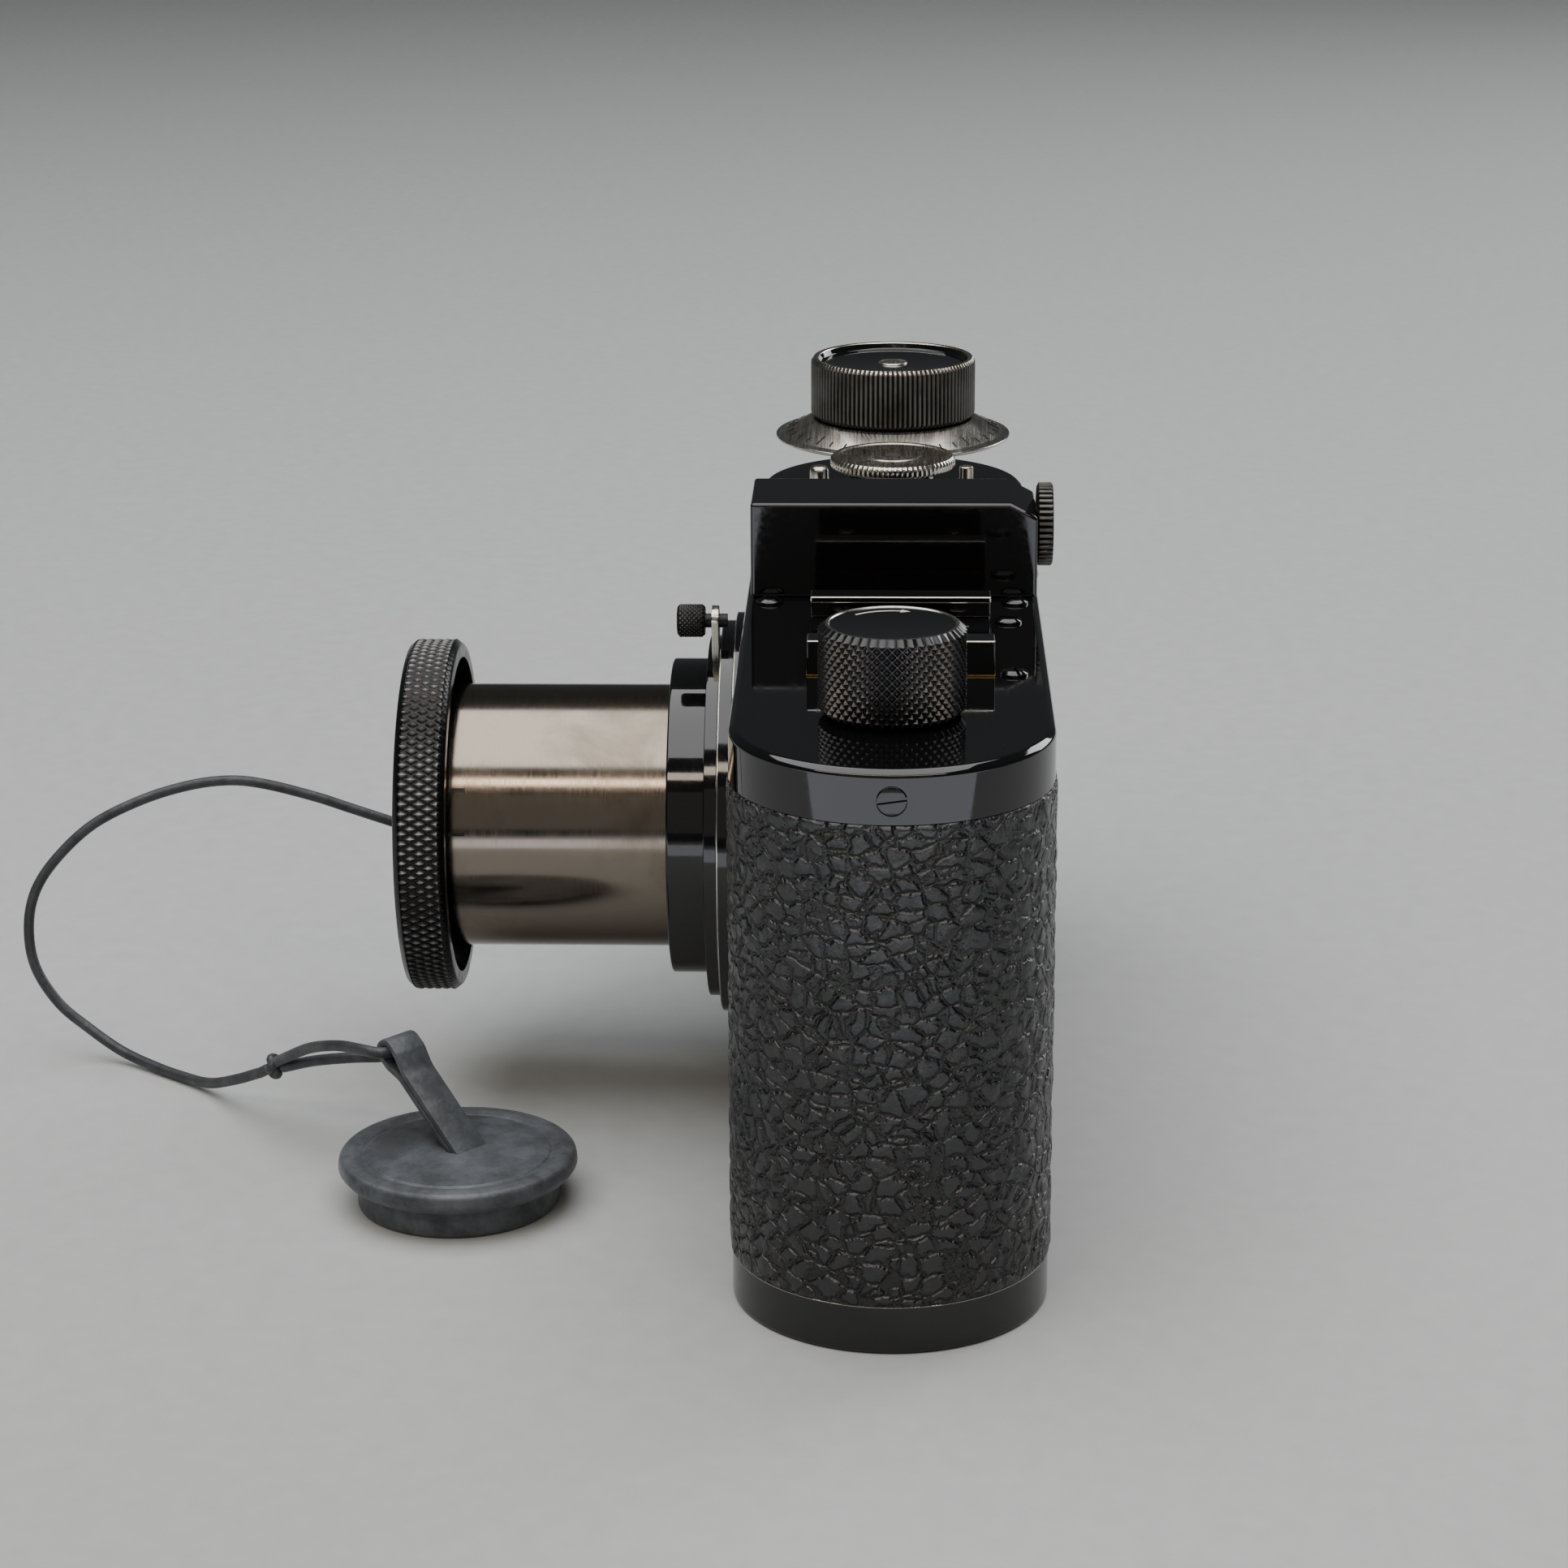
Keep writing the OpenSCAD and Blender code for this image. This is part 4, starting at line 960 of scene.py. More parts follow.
    def eyepiece(self) -> None:
        """Builds the milled eyepiece ring, its barrel and its lens."""
        low, high = corners("eyepiece_ring")
        x, z, r = (low.x + high.x) / 2, (low.z + high.z) / 2, (high.z - low.z) / 2
        back = corners("finder_housing")[1].y
        long = high.y - back
        band = KnurledBand(r, 0.25, long - 0.2, 42, depth=0.3, kind=Knurl.STRAIGHT, per_tooth=6)
        profile = [(r - 0.4, 0.05)] + band.wall() + [(r - 0.25, long), (3.1, long), (2.8, long - 0.15),
                                                     (1.9, long - 0.7), (1.9, -2.5), (2.0, -2.5), (2.0, 0.05)]
        ring = finished(band.press(spun(profile, 42 * 6)), "eyepiece", MILLED, placed((x, back, z), Axis.BACKWARD),
                        broad=False)
        install(ring, "root", "dark_knurl", "eyepiece_ring")


@dataclass
class WindingSide:
    """The winding knob, counter disc, speed dial, release and reversing lever."""

    divisions: int = 40
    speeds: int = 7

    def build(self) -> None:
        """Builds every control of the winding side."""
        self.knob()
        self.counter()
        self.dial()
        self.release()

    def knob(self) -> None:
        """Builds the winding knob: milled wall, bright rim (wear and a painted highlight), dished black top and its
        screw.
        """
        low, high = corners("wind_knob")
        x, r, h = (low.x + high.x) / 2, (high.x - low.x) / 2, high.z - low.z
        band = KnurledBand(r, 0.45, h - 0.5, 104, depth=0.2, kind=Knurl.STRAIGHT, per_tooth=6)
        profile = [(1.7, 0), (r - 0.4, 0)] + band.wall() + fillet(
            [(r - 0.35, h), (r - 0.85, h, 0.2), (r - 1.15, h - 0.75, 0.2), (0.85, h - 0.8)], 3, closed=False)
        knob = finished(band.press(spun(profile + [(0.85, 2), (1.7, 2)], 104 * 6)), "winding_knob", MILLED,
                        placed((x, 0, low.z)), broad=False)
        # Painted highlight and wear: a ring on the top's rim takes the bright edge metal; the dished middle takes
        # lacquer.
        knob.data.materials.append(EDGE_WEAR_AND_HIGHLIGHT.material())
        knob.data.materials.append(LACQUER.material())
        for face in knob.data.polygons:
            reach = math.hypot(face.center.x / MM - x, face.center.y / MM)
            up = face.center.z / MM - low.z
            if up > h - 0.5 and r - 0.95 < reach < r - 0.15:
                face.material_index = 1
            elif up > h - 1.0 and reach < r - 0.9:
                face.material_index = 2
        install(knob, "winder", "dark_knurl", "wind_knob")
        low, high = corners("wind_knob_screw")
        top = high.z
        dome = fillet([(0, -1.1), (1.7, -1.1), (1.7, -0.35, 0.2), (0, 0)], 5)
        head = cut(turned(dome, "winding_screw", NICKEL, (x, 0, top), steps=64),
                   block((5, 0.4, 0.6), (x, 0, top)))
        install(head, "winder", "nickel", "wind_knob_screw")

    def counter(self) -> None:
        """Builds the conical counter disc with its divisions and two setting pins."""
        low, high = corners("counter_disc")
        x, r, z = (low.x + high.x) / 2, (high.x - low.x) / 2, high.z - 2.4
        profile = fillet([(1.7, 0), (r - 0.3, 0, 0.1), (r, 0.15, 0.1), (r, 0.42, 0.12), (r - 0.9, 0.62, 0.6),
                          (10.0, 2.2, 0.8), (9.6, 2.38, 0.1), (1.7, 2.38)], 4)
        parts = [turned(profile, "counter_cone", NICKEL, (x, 0, z), steps=160)]
        for k in range(self.divisions):
            long = 1.5 if k % 5 == 0 else 0.8
            mark = block((long, 0.14, 0.1), (12.6 - long / 2, 0, 0), 0.0)
            tilt = Matrix.Rotation(math.atan2(1.58, 2.95), 4, Vector((0, 1, 0)))
            turn = Matrix.Rotation(TAU * k / self.divisions, 4, "Z")
            place = Matrix.Translation((x, 0, z)) @ turn @ Matrix.Translation((12.4, 0, 0.95)) @ tilt
            parts.append(finished(mark, "division", BLACK_WAX, place @ Matrix.Translation((-12.4, 0, 0)),
                                  broad=False))
        for side in (-1, 1):
            pin = fillet([(0, -0.95), (0.55, -0.95, 0.2), (0.55, 0.3), (0, 0.3)], 3)
            parts.append(turned(pin, "setting_pin", NICKEL, (x, side * (r - 1.2), z), steps=24))
        install(joined(parts, "counter_dial"), "counter", "nickel", "counter_disc")

    def dial(self) -> None:
        """Builds the speed dial with its milled edge and marks, on its hub."""
        low, high = corners("speed_dial")
        x, r, h = (low.x + high.x) / 2, (high.x - low.x) / 2, high.z - low.z
        band = KnurledBand(r, 0.25, h - 0.3, 72, depth=0.16, kind=Knurl.STRAIGHT, per_tooth=4)
        profile = [(1.1, 0), (r - 0.25, 0)] + band.wall() + fillet(
            [(r - 0.3, h), (r - 0.8, h, 0.1), (r - 1.0, h - 0.12, 0.1), (3.2, h - 0.12, 0.1), (3.0, h, 0.1),
             (1.1, h)], 3, closed=False)
        parts = [finished(band.press(spun(profile, 72 * 4)), "dial_plate", NICKEL, placed((x, 0, low.z)))]
        for k in range(self.speeds):
            turn = Matrix.Translation((x, 0, high.z - 0.11)) @ Matrix.Rotation(math.radians(90 + 45 * k), 4, "Z")
            parts.append(finished(block((1.5, 0.2, 0.06), (5.0, 0, 0)), "speed_mark", BLACK_WAX, turn, broad=False))
            parts.append(finished(spun([(0, -0.03), (0.28, -0.03), (0.28, 0.035), (0, 0.035)], 16), "speed_dot",
                                  BLACK_WAX, turn @ Matrix.Translation((3.8, 0, 0)), broad=False))
        install(joined(parts, "shutter_dial"), "dial", "nickel", "speed_dial")
        low, high = corners("dial_hub")
        hub = fillet([(1.06, 0), (2.6, 0, 0.1), (3.0, 0.4, 0.1), (3.0, high.z - low.z), (1.06, high.z - low.z)], 3)
        install(turned(hub, "dial_collar", LACQUER, (x, 0, low.z), steps=64), "dial_carrier", "black_lacquer",
                "dial_hub")

    def release(self) -> None:
        """Builds the release button and its collar, the dial's index post, the winding boss and the lever."""
        low, high = corners("release_collar")
        x, r, h = (low.x + high.x) / 2, (high.x - low.x) / 2, high.z - low.z
        button_low, button_high = corners("release_button")
        collar = fillet([(2.45, 0), (r, 0), (r, h - 0.5, 0.2), (r - 0.35, h, 0.25), (2.45, h, 0.15)], 4)
        install(turned(collar, "release_guard", NICKEL, (x, 0, low.z), steps=80), "root", "nickel",
                "release_collar")
        top = button_high.z
        button = fillet([(0, -1.8), (2.2, -1.8), (2.2, -0.2, 0.3), (1.6, 0, 0.4), (0, -0.25)], 5)
        stem = [(0, button_low.z - top + 0.05), (0.9, button_low.z - top + 0.05), (0.9, -1.7), (0, -1.7)]
        parts = [turned(button, "button_head", NICKEL, (x, 0, top), steps=64),
                 turned(stem, "button_stem", NICKEL, (x, 0, top), steps=24)]
        install(joined(parts, "release_key"), "release", "nickel", "release_button")
        low, high = corners("dial_index_post")
        post = fillet([(0, 0), (0.8, 0), (0.8, high.z - low.z - 0.1, 0.2), (0, high.z - low.z)], 3)
        install(turned(post, "index_post", NICKEL, ((low.x + high.x) / 2, (low.y + high.y) / 2, low.z), steps=32),
                "root", "nickel", "dial_index_post")
        low, high = corners("wind_boss")
        boss = fillet([(1.7, 0), (5.0, 0), (5.0, high.z - low.z, 0.25), (1.7, high.z - low.z)], 4)
        install(turned(boss, "winding_boss", LACQUER, ((low.x + high.x) / 2, 0, low.z), steps=96), "root",
                "black_lacquer", "wind_boss")
        self.reversing_lever()

    def reversing_lever(self) -> None:
        """Builds the lever that frees the film for rewinding, with the pin that it is turned by."""
        low, high = corners("reversing_lever")
        pivot = (low.x + 1.8, (low.y + high.y) / 2, low.z + 1)
        hub = fillet([(0, -1), (1, -1), (1, 0.2), (1.8, 0.2), (1.8, 1.2, 0.2), (0, 1.2)], 3)
        top = high.z - pivot[2]
        pin = fillet([(0, 0.25), (1.1, 0.25, 0.1), (1.1, 1.4), (0.75, 1.7, 0.3), (0.75, top - 2.2, 0.3),
                      (1.1, top - 1.6, 0.3), (1.05, top - 0.1, 0.6), (0, top)], 4)
        arm = extruded(fillet([(0, -0.9), (8.9, -0.9, 0.8), (8.9, 0.9, 0.8), (0, 0.9)], 4), 0.96, 0.12, 2)
        parts = [turned(hub, "lever_hub", NICKEL, pivot, steps=48),
                 turned(pin, "lever_pin", NICKEL, (pivot[0] + 8, pivot[1], pivot[2]), steps=48),
                 finished(arm, "lever_arm", NICKEL, placed((pivot[0], pivot[1], pivot[2] + 0.22)))]
        install(joined(parts, "rewind_release_lever"), "reverse_lever", "nickel", "reversing_lever")


@dataclass
class RewindKnob:
    """The diamond-knurled rewind knob with the turning arrow let into its top."""

    teeth: int = 45
    rim_r: float = 6.25
    arrow_r: float = 4.75
    arrow_w: float = 0.26

    def build(self) -> None:
        """Builds the knob and its arrow."""
        low, high = corners("rewind_knob")
        x, r, h = (low.x + high.x) / 2, (high.x - low.x) / 2, high.z - low.z
        band = KnurledBand(r, 0.55, h - 0.62, self.teeth, pitch=0.99, depth=0.34, per_tooth=8)
        profile = [(1.6, 0.3), (5.4, 0.3), (5.6, 0), (r - 0.55, 0)] + band.wall() + fillet(
            [(self.rim_r + 0.1, h - 0.02), (self.rim_r - 0.18, h, 0.08), (self.rim_r - 0.3, h - 0.14, 0.08),
             (0, h - 0.14)], 3, closed=False)
        knob = finished(band.press(spun(profile + [(0, 1), (1.6, 1)], self.teeth * 8)), "rewind_grip", KNURL,
                        placed((x, 0, low.z)), sharp=32, broad=False)
        # Painted highlight and wear: a thin ring round the top's rim takes the bright edge metal; the inner top takes
        # lacquer.
        for finish in (EDGE_WEAR_AND_HIGHLIGHT, LACQUER):
            knob.data.materials.append(finish.material())
        for face in knob.data.polygons:
            reach = math.hypot(face.center.x / MM - x, face.center.y / MM)
            if face.center.z > (high.z - 0.3) * MM and reach < self.rim_r - 0.25:
                face.material_index = 2
            elif face.center.z > (high.z - 0.25) * MM and reach < self.rim_r + 0.12:
                face.material_index = 1
        arrow = self.arrow(Matrix.Translation((x, 0, high.z - 0.15)))
        install(joined([knob, arrow], "rewind_grip"), "rewinder", "dark_knurl", "rewind_knob")

    def arrow(self, place: Matrix) -> bpy.types.Object:
        """Makes the curved arrow inlay.

        Args:
            place: The middle of the knob's top, in millimetres.

        Returns:
            The arrow, on the far half of the top.
        """
        bm = bmesh.new()
        start, sweep, half = math.radians(227), math.radians(-57), self.arrow_w / 2
        ends = [bm.verts.new((math.cos(start) * q, math.sin(start) * q, 0))
                for q in (self.arrow_r - half, self.arrow_r + half)]
        made = bmesh.ops.spin(bm, geom=ends + [bm.edges.new(ends)], cent=(0, 0, 0), axis=(0, 0, 1), angle=sweep,
                              steps=24, use_duplicate=False)["geom_last"]
        stop = start + sweep
        tip = stop - math.radians(11)
        head = [bm.verts.new((math.cos(a) * q, math.sin(a) * q, 0)) for a, q in (
            (stop, self.arrow_r - 0.5), (tip, self.arrow_r), (stop, self.arrow_r + 0.5))]
        bm.faces.new(head)
        LOG.debug("arrow shaft ends with %d elements", len(made))
        bmesh.ops.recalc_face_normals(bm, faces=bm.faces)
        for face in bm.faces:
            if face.normal.z < 0:
                face.normal_flip()
        shell = bmesh.ops.extrude_face_region(bm, geom=list(bm.faces))["geom"]
        bmesh.ops.translate(bm, vec=(0, 0, 0.03), verts=[v for v in shell if isinstance(v, bmesh.types.BMVert)])
        bmesh.ops.recalc_face_normals(bm, faces=bm.faces)
        return finished(bm, "turn_arrow", WHITE_WAX, place, broad=False)


@dataclass
class LensMount:
    """The front flange, its ring, the focusing ring with its lever, and the helicoid sleeve."""

    wear: float = 0.16

    def __post_init__(self) -> None:
        """Reads the lens axis from the frame."""
        low, high = corners("lens_flange")
        self.axis = ((low.x + high.x) / 2, 0.0, (low.z + high.z) / 2)

    def turned(self, profile: Sequence[Point2], name: str, finish: Finish, steps: int = 192) -> bpy.types.Object:
        """Turns a piece on the lens axis, its heights measured forwards from the middle of the body."""
        return turned(profile, name, finish, self.axis, Axis.FORWARD, steps)

    def at(self, across: float, up: float, forward: float) -> Matrix:
        """Returns a place beside the lens axis, drawn along the way that the lens looks."""
        return placed((self.axis[0] + across, -forward, self.axis[2] + up), Axis.FORWARD)

    def build(self) -> None:
        """Builds every piece of the mount."""
        self.flange()
        self.focusing()

    def rim_wear_and_highlight(self, piece: bpy.types.Object, radius: float, forward: float) -> bpy.types.Object:
        """Gives the outer front edge of a black ring a line of bright metal, partly rubbed bare metal and partly a
        painted highlight.

        Args:
            piece: The ring.
            radius: Its outer radius, in millimetres.
            forward: Its front, in millimetres before the middle of the body.

        Returns:
            The ring.
        """
        # Painted highlight and wear: faces at the outer front edge take the bright edge metal.
        piece.data.materials.append(EDGE_WEAR_AND_HIGHLIGHT.material())
        for face in piece.data.polygons:
            centre = face.center / MM
            reach = math.hypot(centre.x - self.axis[0], centre.z - self.axis[2])
            face.material_index = int(reach > radius - self.wear and abs(centre.y + forward) < self.wear
                                      and 0.15 < -face.normal.y < 0.97)
        return piece

    def flange(self) -> None:
        """Builds the flange, its four screws and the ring on it."""
        edge = self.wear
        flange = self.turned(fillet([(17.6, 15), (22.4, 15), (22.4, 16.9, edge), (17.6, 16.9)], 4),
                             "front_flange", ENAMEL)
        holes, heads = [], []
        for quarter in range(4):
            angle = math.radians(45 + 90 * quarter)
            place = self.at(20 * math.cos(angle), 20 * math.sin(angle), 16.9)
            hole = spun([(0, -0.62), (1.25, -0.62), (1.25, 1), (0, 1)], 32)
            bmesh.ops.transform(hole, matrix=place, verts=hole.verts)
            holes.append(hole)
            head = cut(finished(spun([(0, -0.6), (1.2, -0.6), (1.2, -0.02), (0, -0.02)], 32), "screw", NICKEL),
                       block((4, 0.3, 0.5), (0, 0, 0)))
            head.data.transform(Matrix.Scale(MM, 4) @ place @ Matrix.Scale(1 / MM, 4))
            heads.append(head)
        install(self.rim_wear_and_highlight(cut(flange, *holes), 22.4, 16.9), "root", "black_lacquer", "lens_flange")
        install(joined(heads, "flange_screw_heads"), "root", "nickel", "flange_screws")
        ring = fillet([(15.5, 14), (17.58, 14), (17.58, 16.9), (21.5, 16.9), (21.5, 18.4, edge), (15.5, 18.4)], 4)
        install(self.rim_wear_and_highlight(self.turned(ring, "mount_base_ring", ENAMEL), 21.5, 18.4), "root", "black_lacquer",
                "lens_base_ring")
        catch = bmesh.new()
        start = math.radians(90 - 197 - 5)
        corner = [(20.05, 18.42), (21.2, 18.42), (21.2, 19.2), (20.05, 19.2)]
        face = catch.faces.new([catch.verts.new((math.cos(start) * r, math.sin(start) * r, d)) for r, d in corner])
        bmesh.ops.spin(catch, geom=[face], cent=(0, 0, 0), axis=(0, 0, 1), angle=math.radians(10), steps=8)
        bmesh.ops.recalc_face_normals(catch, faces=catch.faces)
        round_edges(catch, [e for e in catch.edges if e.calc_face_angle(0.0) > 0.8], 0.1, 2)
        install(finished(catch, "infinity_stop", NICKEL, self.at(0, 0, 0)), "root", "nickel", "infinity_catch")

    def focusing(self) -> None:
        """Builds the focusing ring, its lever and lock knob, and the sleeve."""
        ring = self.turned(fillet([(15.5, 18.5), (19.85, 18.5), (19.85, 19.8, 0.12), (17.3, 19.8, 0.2),
                                   (17.3, 23.9, 0.3), (15.5, 23.9, 0.12)], 4), "focusing_ring", ENAMEL)
        lever_low, lever_high = corners("focus_lever")
        angle = math.radians(12)
        lean = self.at(0, 0, 0) @ Matrix.Rotation(-angle, 4, "Z")
        slot = block((3.04, 9, 0.84), (0, 17.7 + 4.48, 18.9))
        bmesh.ops.transform(slot, matrix=lean, verts=slot.verts)
        install(cut(ring, slot), "focus_mount", "black_lacquer", "focus_ring")
        lever = extruded(fillet([(-1.5, 17.75), (1.5, 17.75), (1.5, 25.5, 1.2), (-1.5, 25.5, 1.2)], 5), 0.78, 0.08, 2)
        bmesh.ops.translate(lever, vec=(0, 0, 18.51), verts=lever.verts)
        hole = spun([(0, 18), (0.85, 18), (0.85, 20), (0, 20)], 32)
        bmesh.ops.translate(hole, vec=(0, 23.95, 0), verts=hole.verts)
        arm = cut(finished(lever, "focusing_lever", NICKEL), hole)
        arm.data.transform(Matrix.Scale(MM, 4) @ lean @ Matrix.Scale(1 / MM, 4))
        install(arm, "focus_mount", "nickel", "focus_lever")
        LOG.debug("the lever reaches from %s to %s", lever_low, lever_high)
        band = KnurledBand(1.8, 0.35, 2.65, 22, pitch=0.5, depth=0.16, per_tooth=6)
        knob = [(0, -2.4), (0.75, -2.4), (0.75, 0), (1.5, 0)] + band.wall() + fillet(
            [(1.72, 2.75), (1.45, 3.0, 0.2), (0.6, 3.0), (0, 2.85)], 3, closed=False)
        button = finished(band.press(spun(knob, 22 * 6)), "infinity_lock_knob", MILLED,
                          lean @ Matrix.Translation((0, 23.95, 20.0)), broad=False)
        install(button, "focus_lock", "dark_knurl", "focus_lock_button")
        sleeve = fillet([(14.45, 11), (15.2, 11), (15.2, 23.4, 0.1), (14.45, 23.4, 0.1)], 2)
        install(self.turned(sleeve, "helicoid_tube", NICKEL), "focus_sleeve", "nickel", "helicoid_sleeve")


@dataclass
class Barrel(LensMount):
    """The collapsible tube, the lens head with its glasses, and the knurled aperture ring."""

    ball: float = 22.0
    glass_r: float = 7.48
    teeth: int = 114

    def build(self) -> None:
        """Builds every piece of the barrel."""
        self.tube()
        self.head()
        self.ring()

    def tube(self) -> None:
        """Builds the worn nickel tube with two index marks beside the ring."""
        parts = [self.turned([(13.4, 18), (14.4, 18), (14.4, 49.5), (13.4, 49.5)], "tube", TUBE_NICKEL, 256)]
        for angle in (27.9, 8.9):
            tick = self.at(0, 0, 46.4) @ Matrix.Rotation(math.radians(angle), 4, "Z") @ Matrix.Translation((14.4, 0, 0))
            parts.append(finished(block((0.06, 0.36, 1.75), (0, 0, 0)), "index_mark", BLACK_WAX, tick, broad=False))
        install(joined(parts, "collapsible_tube"), "barrel", "worn_nickel", "lens_tube")

    def lens(self, back: float, flat: float, name: str) -> bpy.types.Object:
        """Grinds one plano-convex glass.

        Args:
            back: The flat face, in millimetres before the middle of the body.
            flat: The top of the curved face.
            name: The glass's name.

        Returns:
            The glass; its curved face looks away from the flat one.
        """
        side = 1 if flat > back else -1
        centre = flat - side * self.ball
        limit = math.asin(self.glass_r / self.ball)
        arc = [(self.ball * math.sin(limit * k / 10), centre + side * self.ball * math.cos(limit * k / 10))
               for k in range(11)]
        return self.turned([(0.0, back), (self.glass_r, back)] + arc[::-1], name, GLASS, 128)

    def head(self) -> None:
        """Builds the lens head with its cord eyelet, and the front and rear glasses."""
        head = self.turned(fillet([(7.5, 36), (13.38, 36), (13.38, 49.52), (17.22, 49.52), (17.22, 52.9, 0.2),
                                   (10.6, 52.9, 0.25), (10.3, 48.9, 0.3), (7.5, 48.9, 0.2)], 4),
                           "lens_front", ENAMEL)
        post = finished(spun(fillet([(0, -0.3), (0.8, -0.3), (0.8, 1.4, 0.3), (0, 1.4)], 4), 40), "eyelet", ENAMEL)
        bore = spun([(0, -3), (0.36, -3), (0.36, 3), (0, 3)], 24)
        bmesh.ops.transform(bore, matrix=placed((0, 0, 0.7), Axis.FORWARD), verts=bore.verts)
        cut(post, bore)
        post.data.transform(Matrix.Scale(MM, 4) @ self.at(-15, -6.6, 52.9) @ Matrix.Scale(1 / MM, 4))
        install(joined([head, post], "lens_front"), "barrel", "black_lacquer", "lens_head")
        install(self.lens(44.4, 48.4, "front_glass"), "barrel", "glass", "front_element")
        install(self.lens(40.0, 36.5, "rear_glass"), "barrel", "glass", "rear_element")

    def ring(self) -> None:
        """Builds the aperture ring, its diamond knurl between two plain bevels."""
        band = KnurledBand(19.3, 47.95, 51.95, self.teeth, pitch=1.86, depth=0.33, per_tooth=8)
        profile = [(17.32, 47.2), (18.5, 47.2), (18.75, 47.25), (19.2, 47.8)] + band.wall() + [
            (19.2, 52.1), (18.75, 52.64), (18.5, 52.7), (17.32, 52.7)]
        ring = finished(band.press(spun(profile, self.teeth * 8)), "aperture_grip", DARK_KNURL, self.at(0, 0, 0),
                        sharp=45, broad=False)
        install(ring, "aperture", "dark_knurl", "aperture_ring")


@dataclass
class CapAndCord:
    """The leather lens cap, the strap that it hangs by and the lace that ties it to the lens."""

    lace: float = 1.2
    strap: float = 4.0
    hide: float = 0.66

    #: The lace's centreline, from the eyelet down to the knot.
    ROUTE = ((-19, -54.5, 24.6), (-19.2, -57.3, 25.4), (-19, -62.1, 27.1), (-18.8, -65.7, 28.4), (-18.4, -71.2, 30),
             (-18, -75.3, 30.6), (-17.4, -79.9, 30.2), (-16.6, -85.3, 28.7), (-15.6, -90.8, 26.1),
             (-14.5, -94.9, 22.5), (-13.3, -97.4, 18.9), (-12.1, -98.2, 14.9), (-11, -97.5, 10.5), (-10.2, -94.9, 6.4),
             (-9.4, -91.4, 3.6), (-7.8, -87.5, 1.5), (-4.9, -83.3, 0.8), (-1.9, -79.5, 0.75), (1.4, -75.9, 1.3),
             (5.8, -72.1, 3.5), (9.2, -68.7, 5.7))
    #: The loop's centreline, out of the knot, through the strap's fold and back beneath it.
    LOOP = ((11.6, -66.5, 7.9), (13.6, -64.9, 9.3), (16.9, -61.9, 11.6), (20.6, -58.4, 13.3), (23.8, -55.4, 14.1),
            (24.9, -53.6, 14.2), (24.4, -52.6, 14.1), (23.0, -51.5, 13.95), (21.4, -50.2, 13.9), (20.3, -49.9, 13.2),
            (19.6, -51.0, 12.3), (19.0, -53.6, 11.5), (17.4, -57.6, 10.7), (14.6, -62.0, 9.2), (11.9, -65.7, 7.4))

    def smooth(self, points: Sequence[Point3], steps: int = 6) -> list[Vector]:
        """Draws a smooth line through points.

        Args:
            points: The points, in millimetres.
            steps: Pieces between each two of them.

        Returns:
            The line's points.
        """
        known = [Vector(p) for p in points]
        known = [2 * known[0] - known[1]] + known + [2 * known[-1] - known[-2]]
        made = []
        for a, b, c, d in zip(known, known[1:], known[2:], known[3:]):
            for k in range(steps):
                t = k / steps
                made.append(0.5 * (2 * b + (c - a) * t + (2 * a - 5 * b + 4 * c - d) * t * t
                                   + (3 * b - a - 3 * c + d) * t ** 3))
        return made + [known[-2]]

    def tube(self, line: Sequence[Vector], name: str, width: float) -> bpy.types.Object:
        """Draws a round lace along a line, without twist.

        Args:
            line: The centreline, in millimetres.
            name: The piece's name.
            width: The lace's diameter.

        Returns:
            The lace.
        """
        bm = bmesh.new()
        heading = (line[1] - line[0]).normalized()
        turn = Vector((0, 0, 1)).rotation_difference(heading).to_matrix().to_4x4()
        bmesh.ops.create_circle(bm, cap_ends=True, segments=14, radius=width / 2,
                                matrix=Matrix.Translation(line[0]) @ turn)
        face = list(bm.faces)[0]
        for i in range(1, len(line)):
            ahead = (line[min(i + 1, len(line) - 1)] - line[i - 1]).normalized()
            bend = heading.rotation_difference(ahead).to_matrix().to_4x4()
            made = bmesh.ops.extrude_face_region(bm, geom=[face])["geom"]
            face = next(g for g in made if isinstance(g, bmesh.types.BMFace))
            bmesh.ops.transform(bm, matrix=Matrix.Translation(line[i]) @ bend @ Matrix.Translation(-line[i - 1]),
                                verts=face.verts)
            heading = ahead
        bmesh.ops.recalc_face_normals(bm, faces=bm.faces)
        return finished(bm, name, LACE, broad=False)

    def knot(self) -> bpy.types.Object:
        """Ties the small overhand knot."""
        low, high = corners("cord_knot")
        centre, pull = (low + high) / 2, 0.33
        turns = [TAU * k / 42 for k in range(43)]
        line = [centre + pull * Vector((math.sin(t) + 2 * math.sin(2 * t), -math.sin(3 * t) * 1.25,
                                        math.cos(t) - 2 * math.cos(2 * t))) for t in turns]
        last = Vector(self.ROUTE[-1])
        stub = [last + (centre - last) * t for t in (-0.06, 0.3, 0.65, 1.0)]
        return joined([self.tube(line, "lace_knot", 1.05), self.tube(stub, "lace_end", self.lace)], "lace_knot")

    def build(self) -> None:
        path = self.smooth(self.ROUTE)
        length = sum((b - a).length for a, b in zip(path, path[1:]))
        lace = self.tube(path, "tether_lace", self.lace)
        knot, loop = self.knot(), self.tube(self.smooth(self.LOOP), "lace_loop", self.lace)
        install(knot, "cap", "cord_leather", "cord_knot")
        install(loop, "cap", "cord_leather", "cord_loop")
        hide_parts("cap_cord")
        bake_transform(lace)
        LOG.info("the lace is %.1f mm long", length)
        self.cap()
        self.strap_fold()

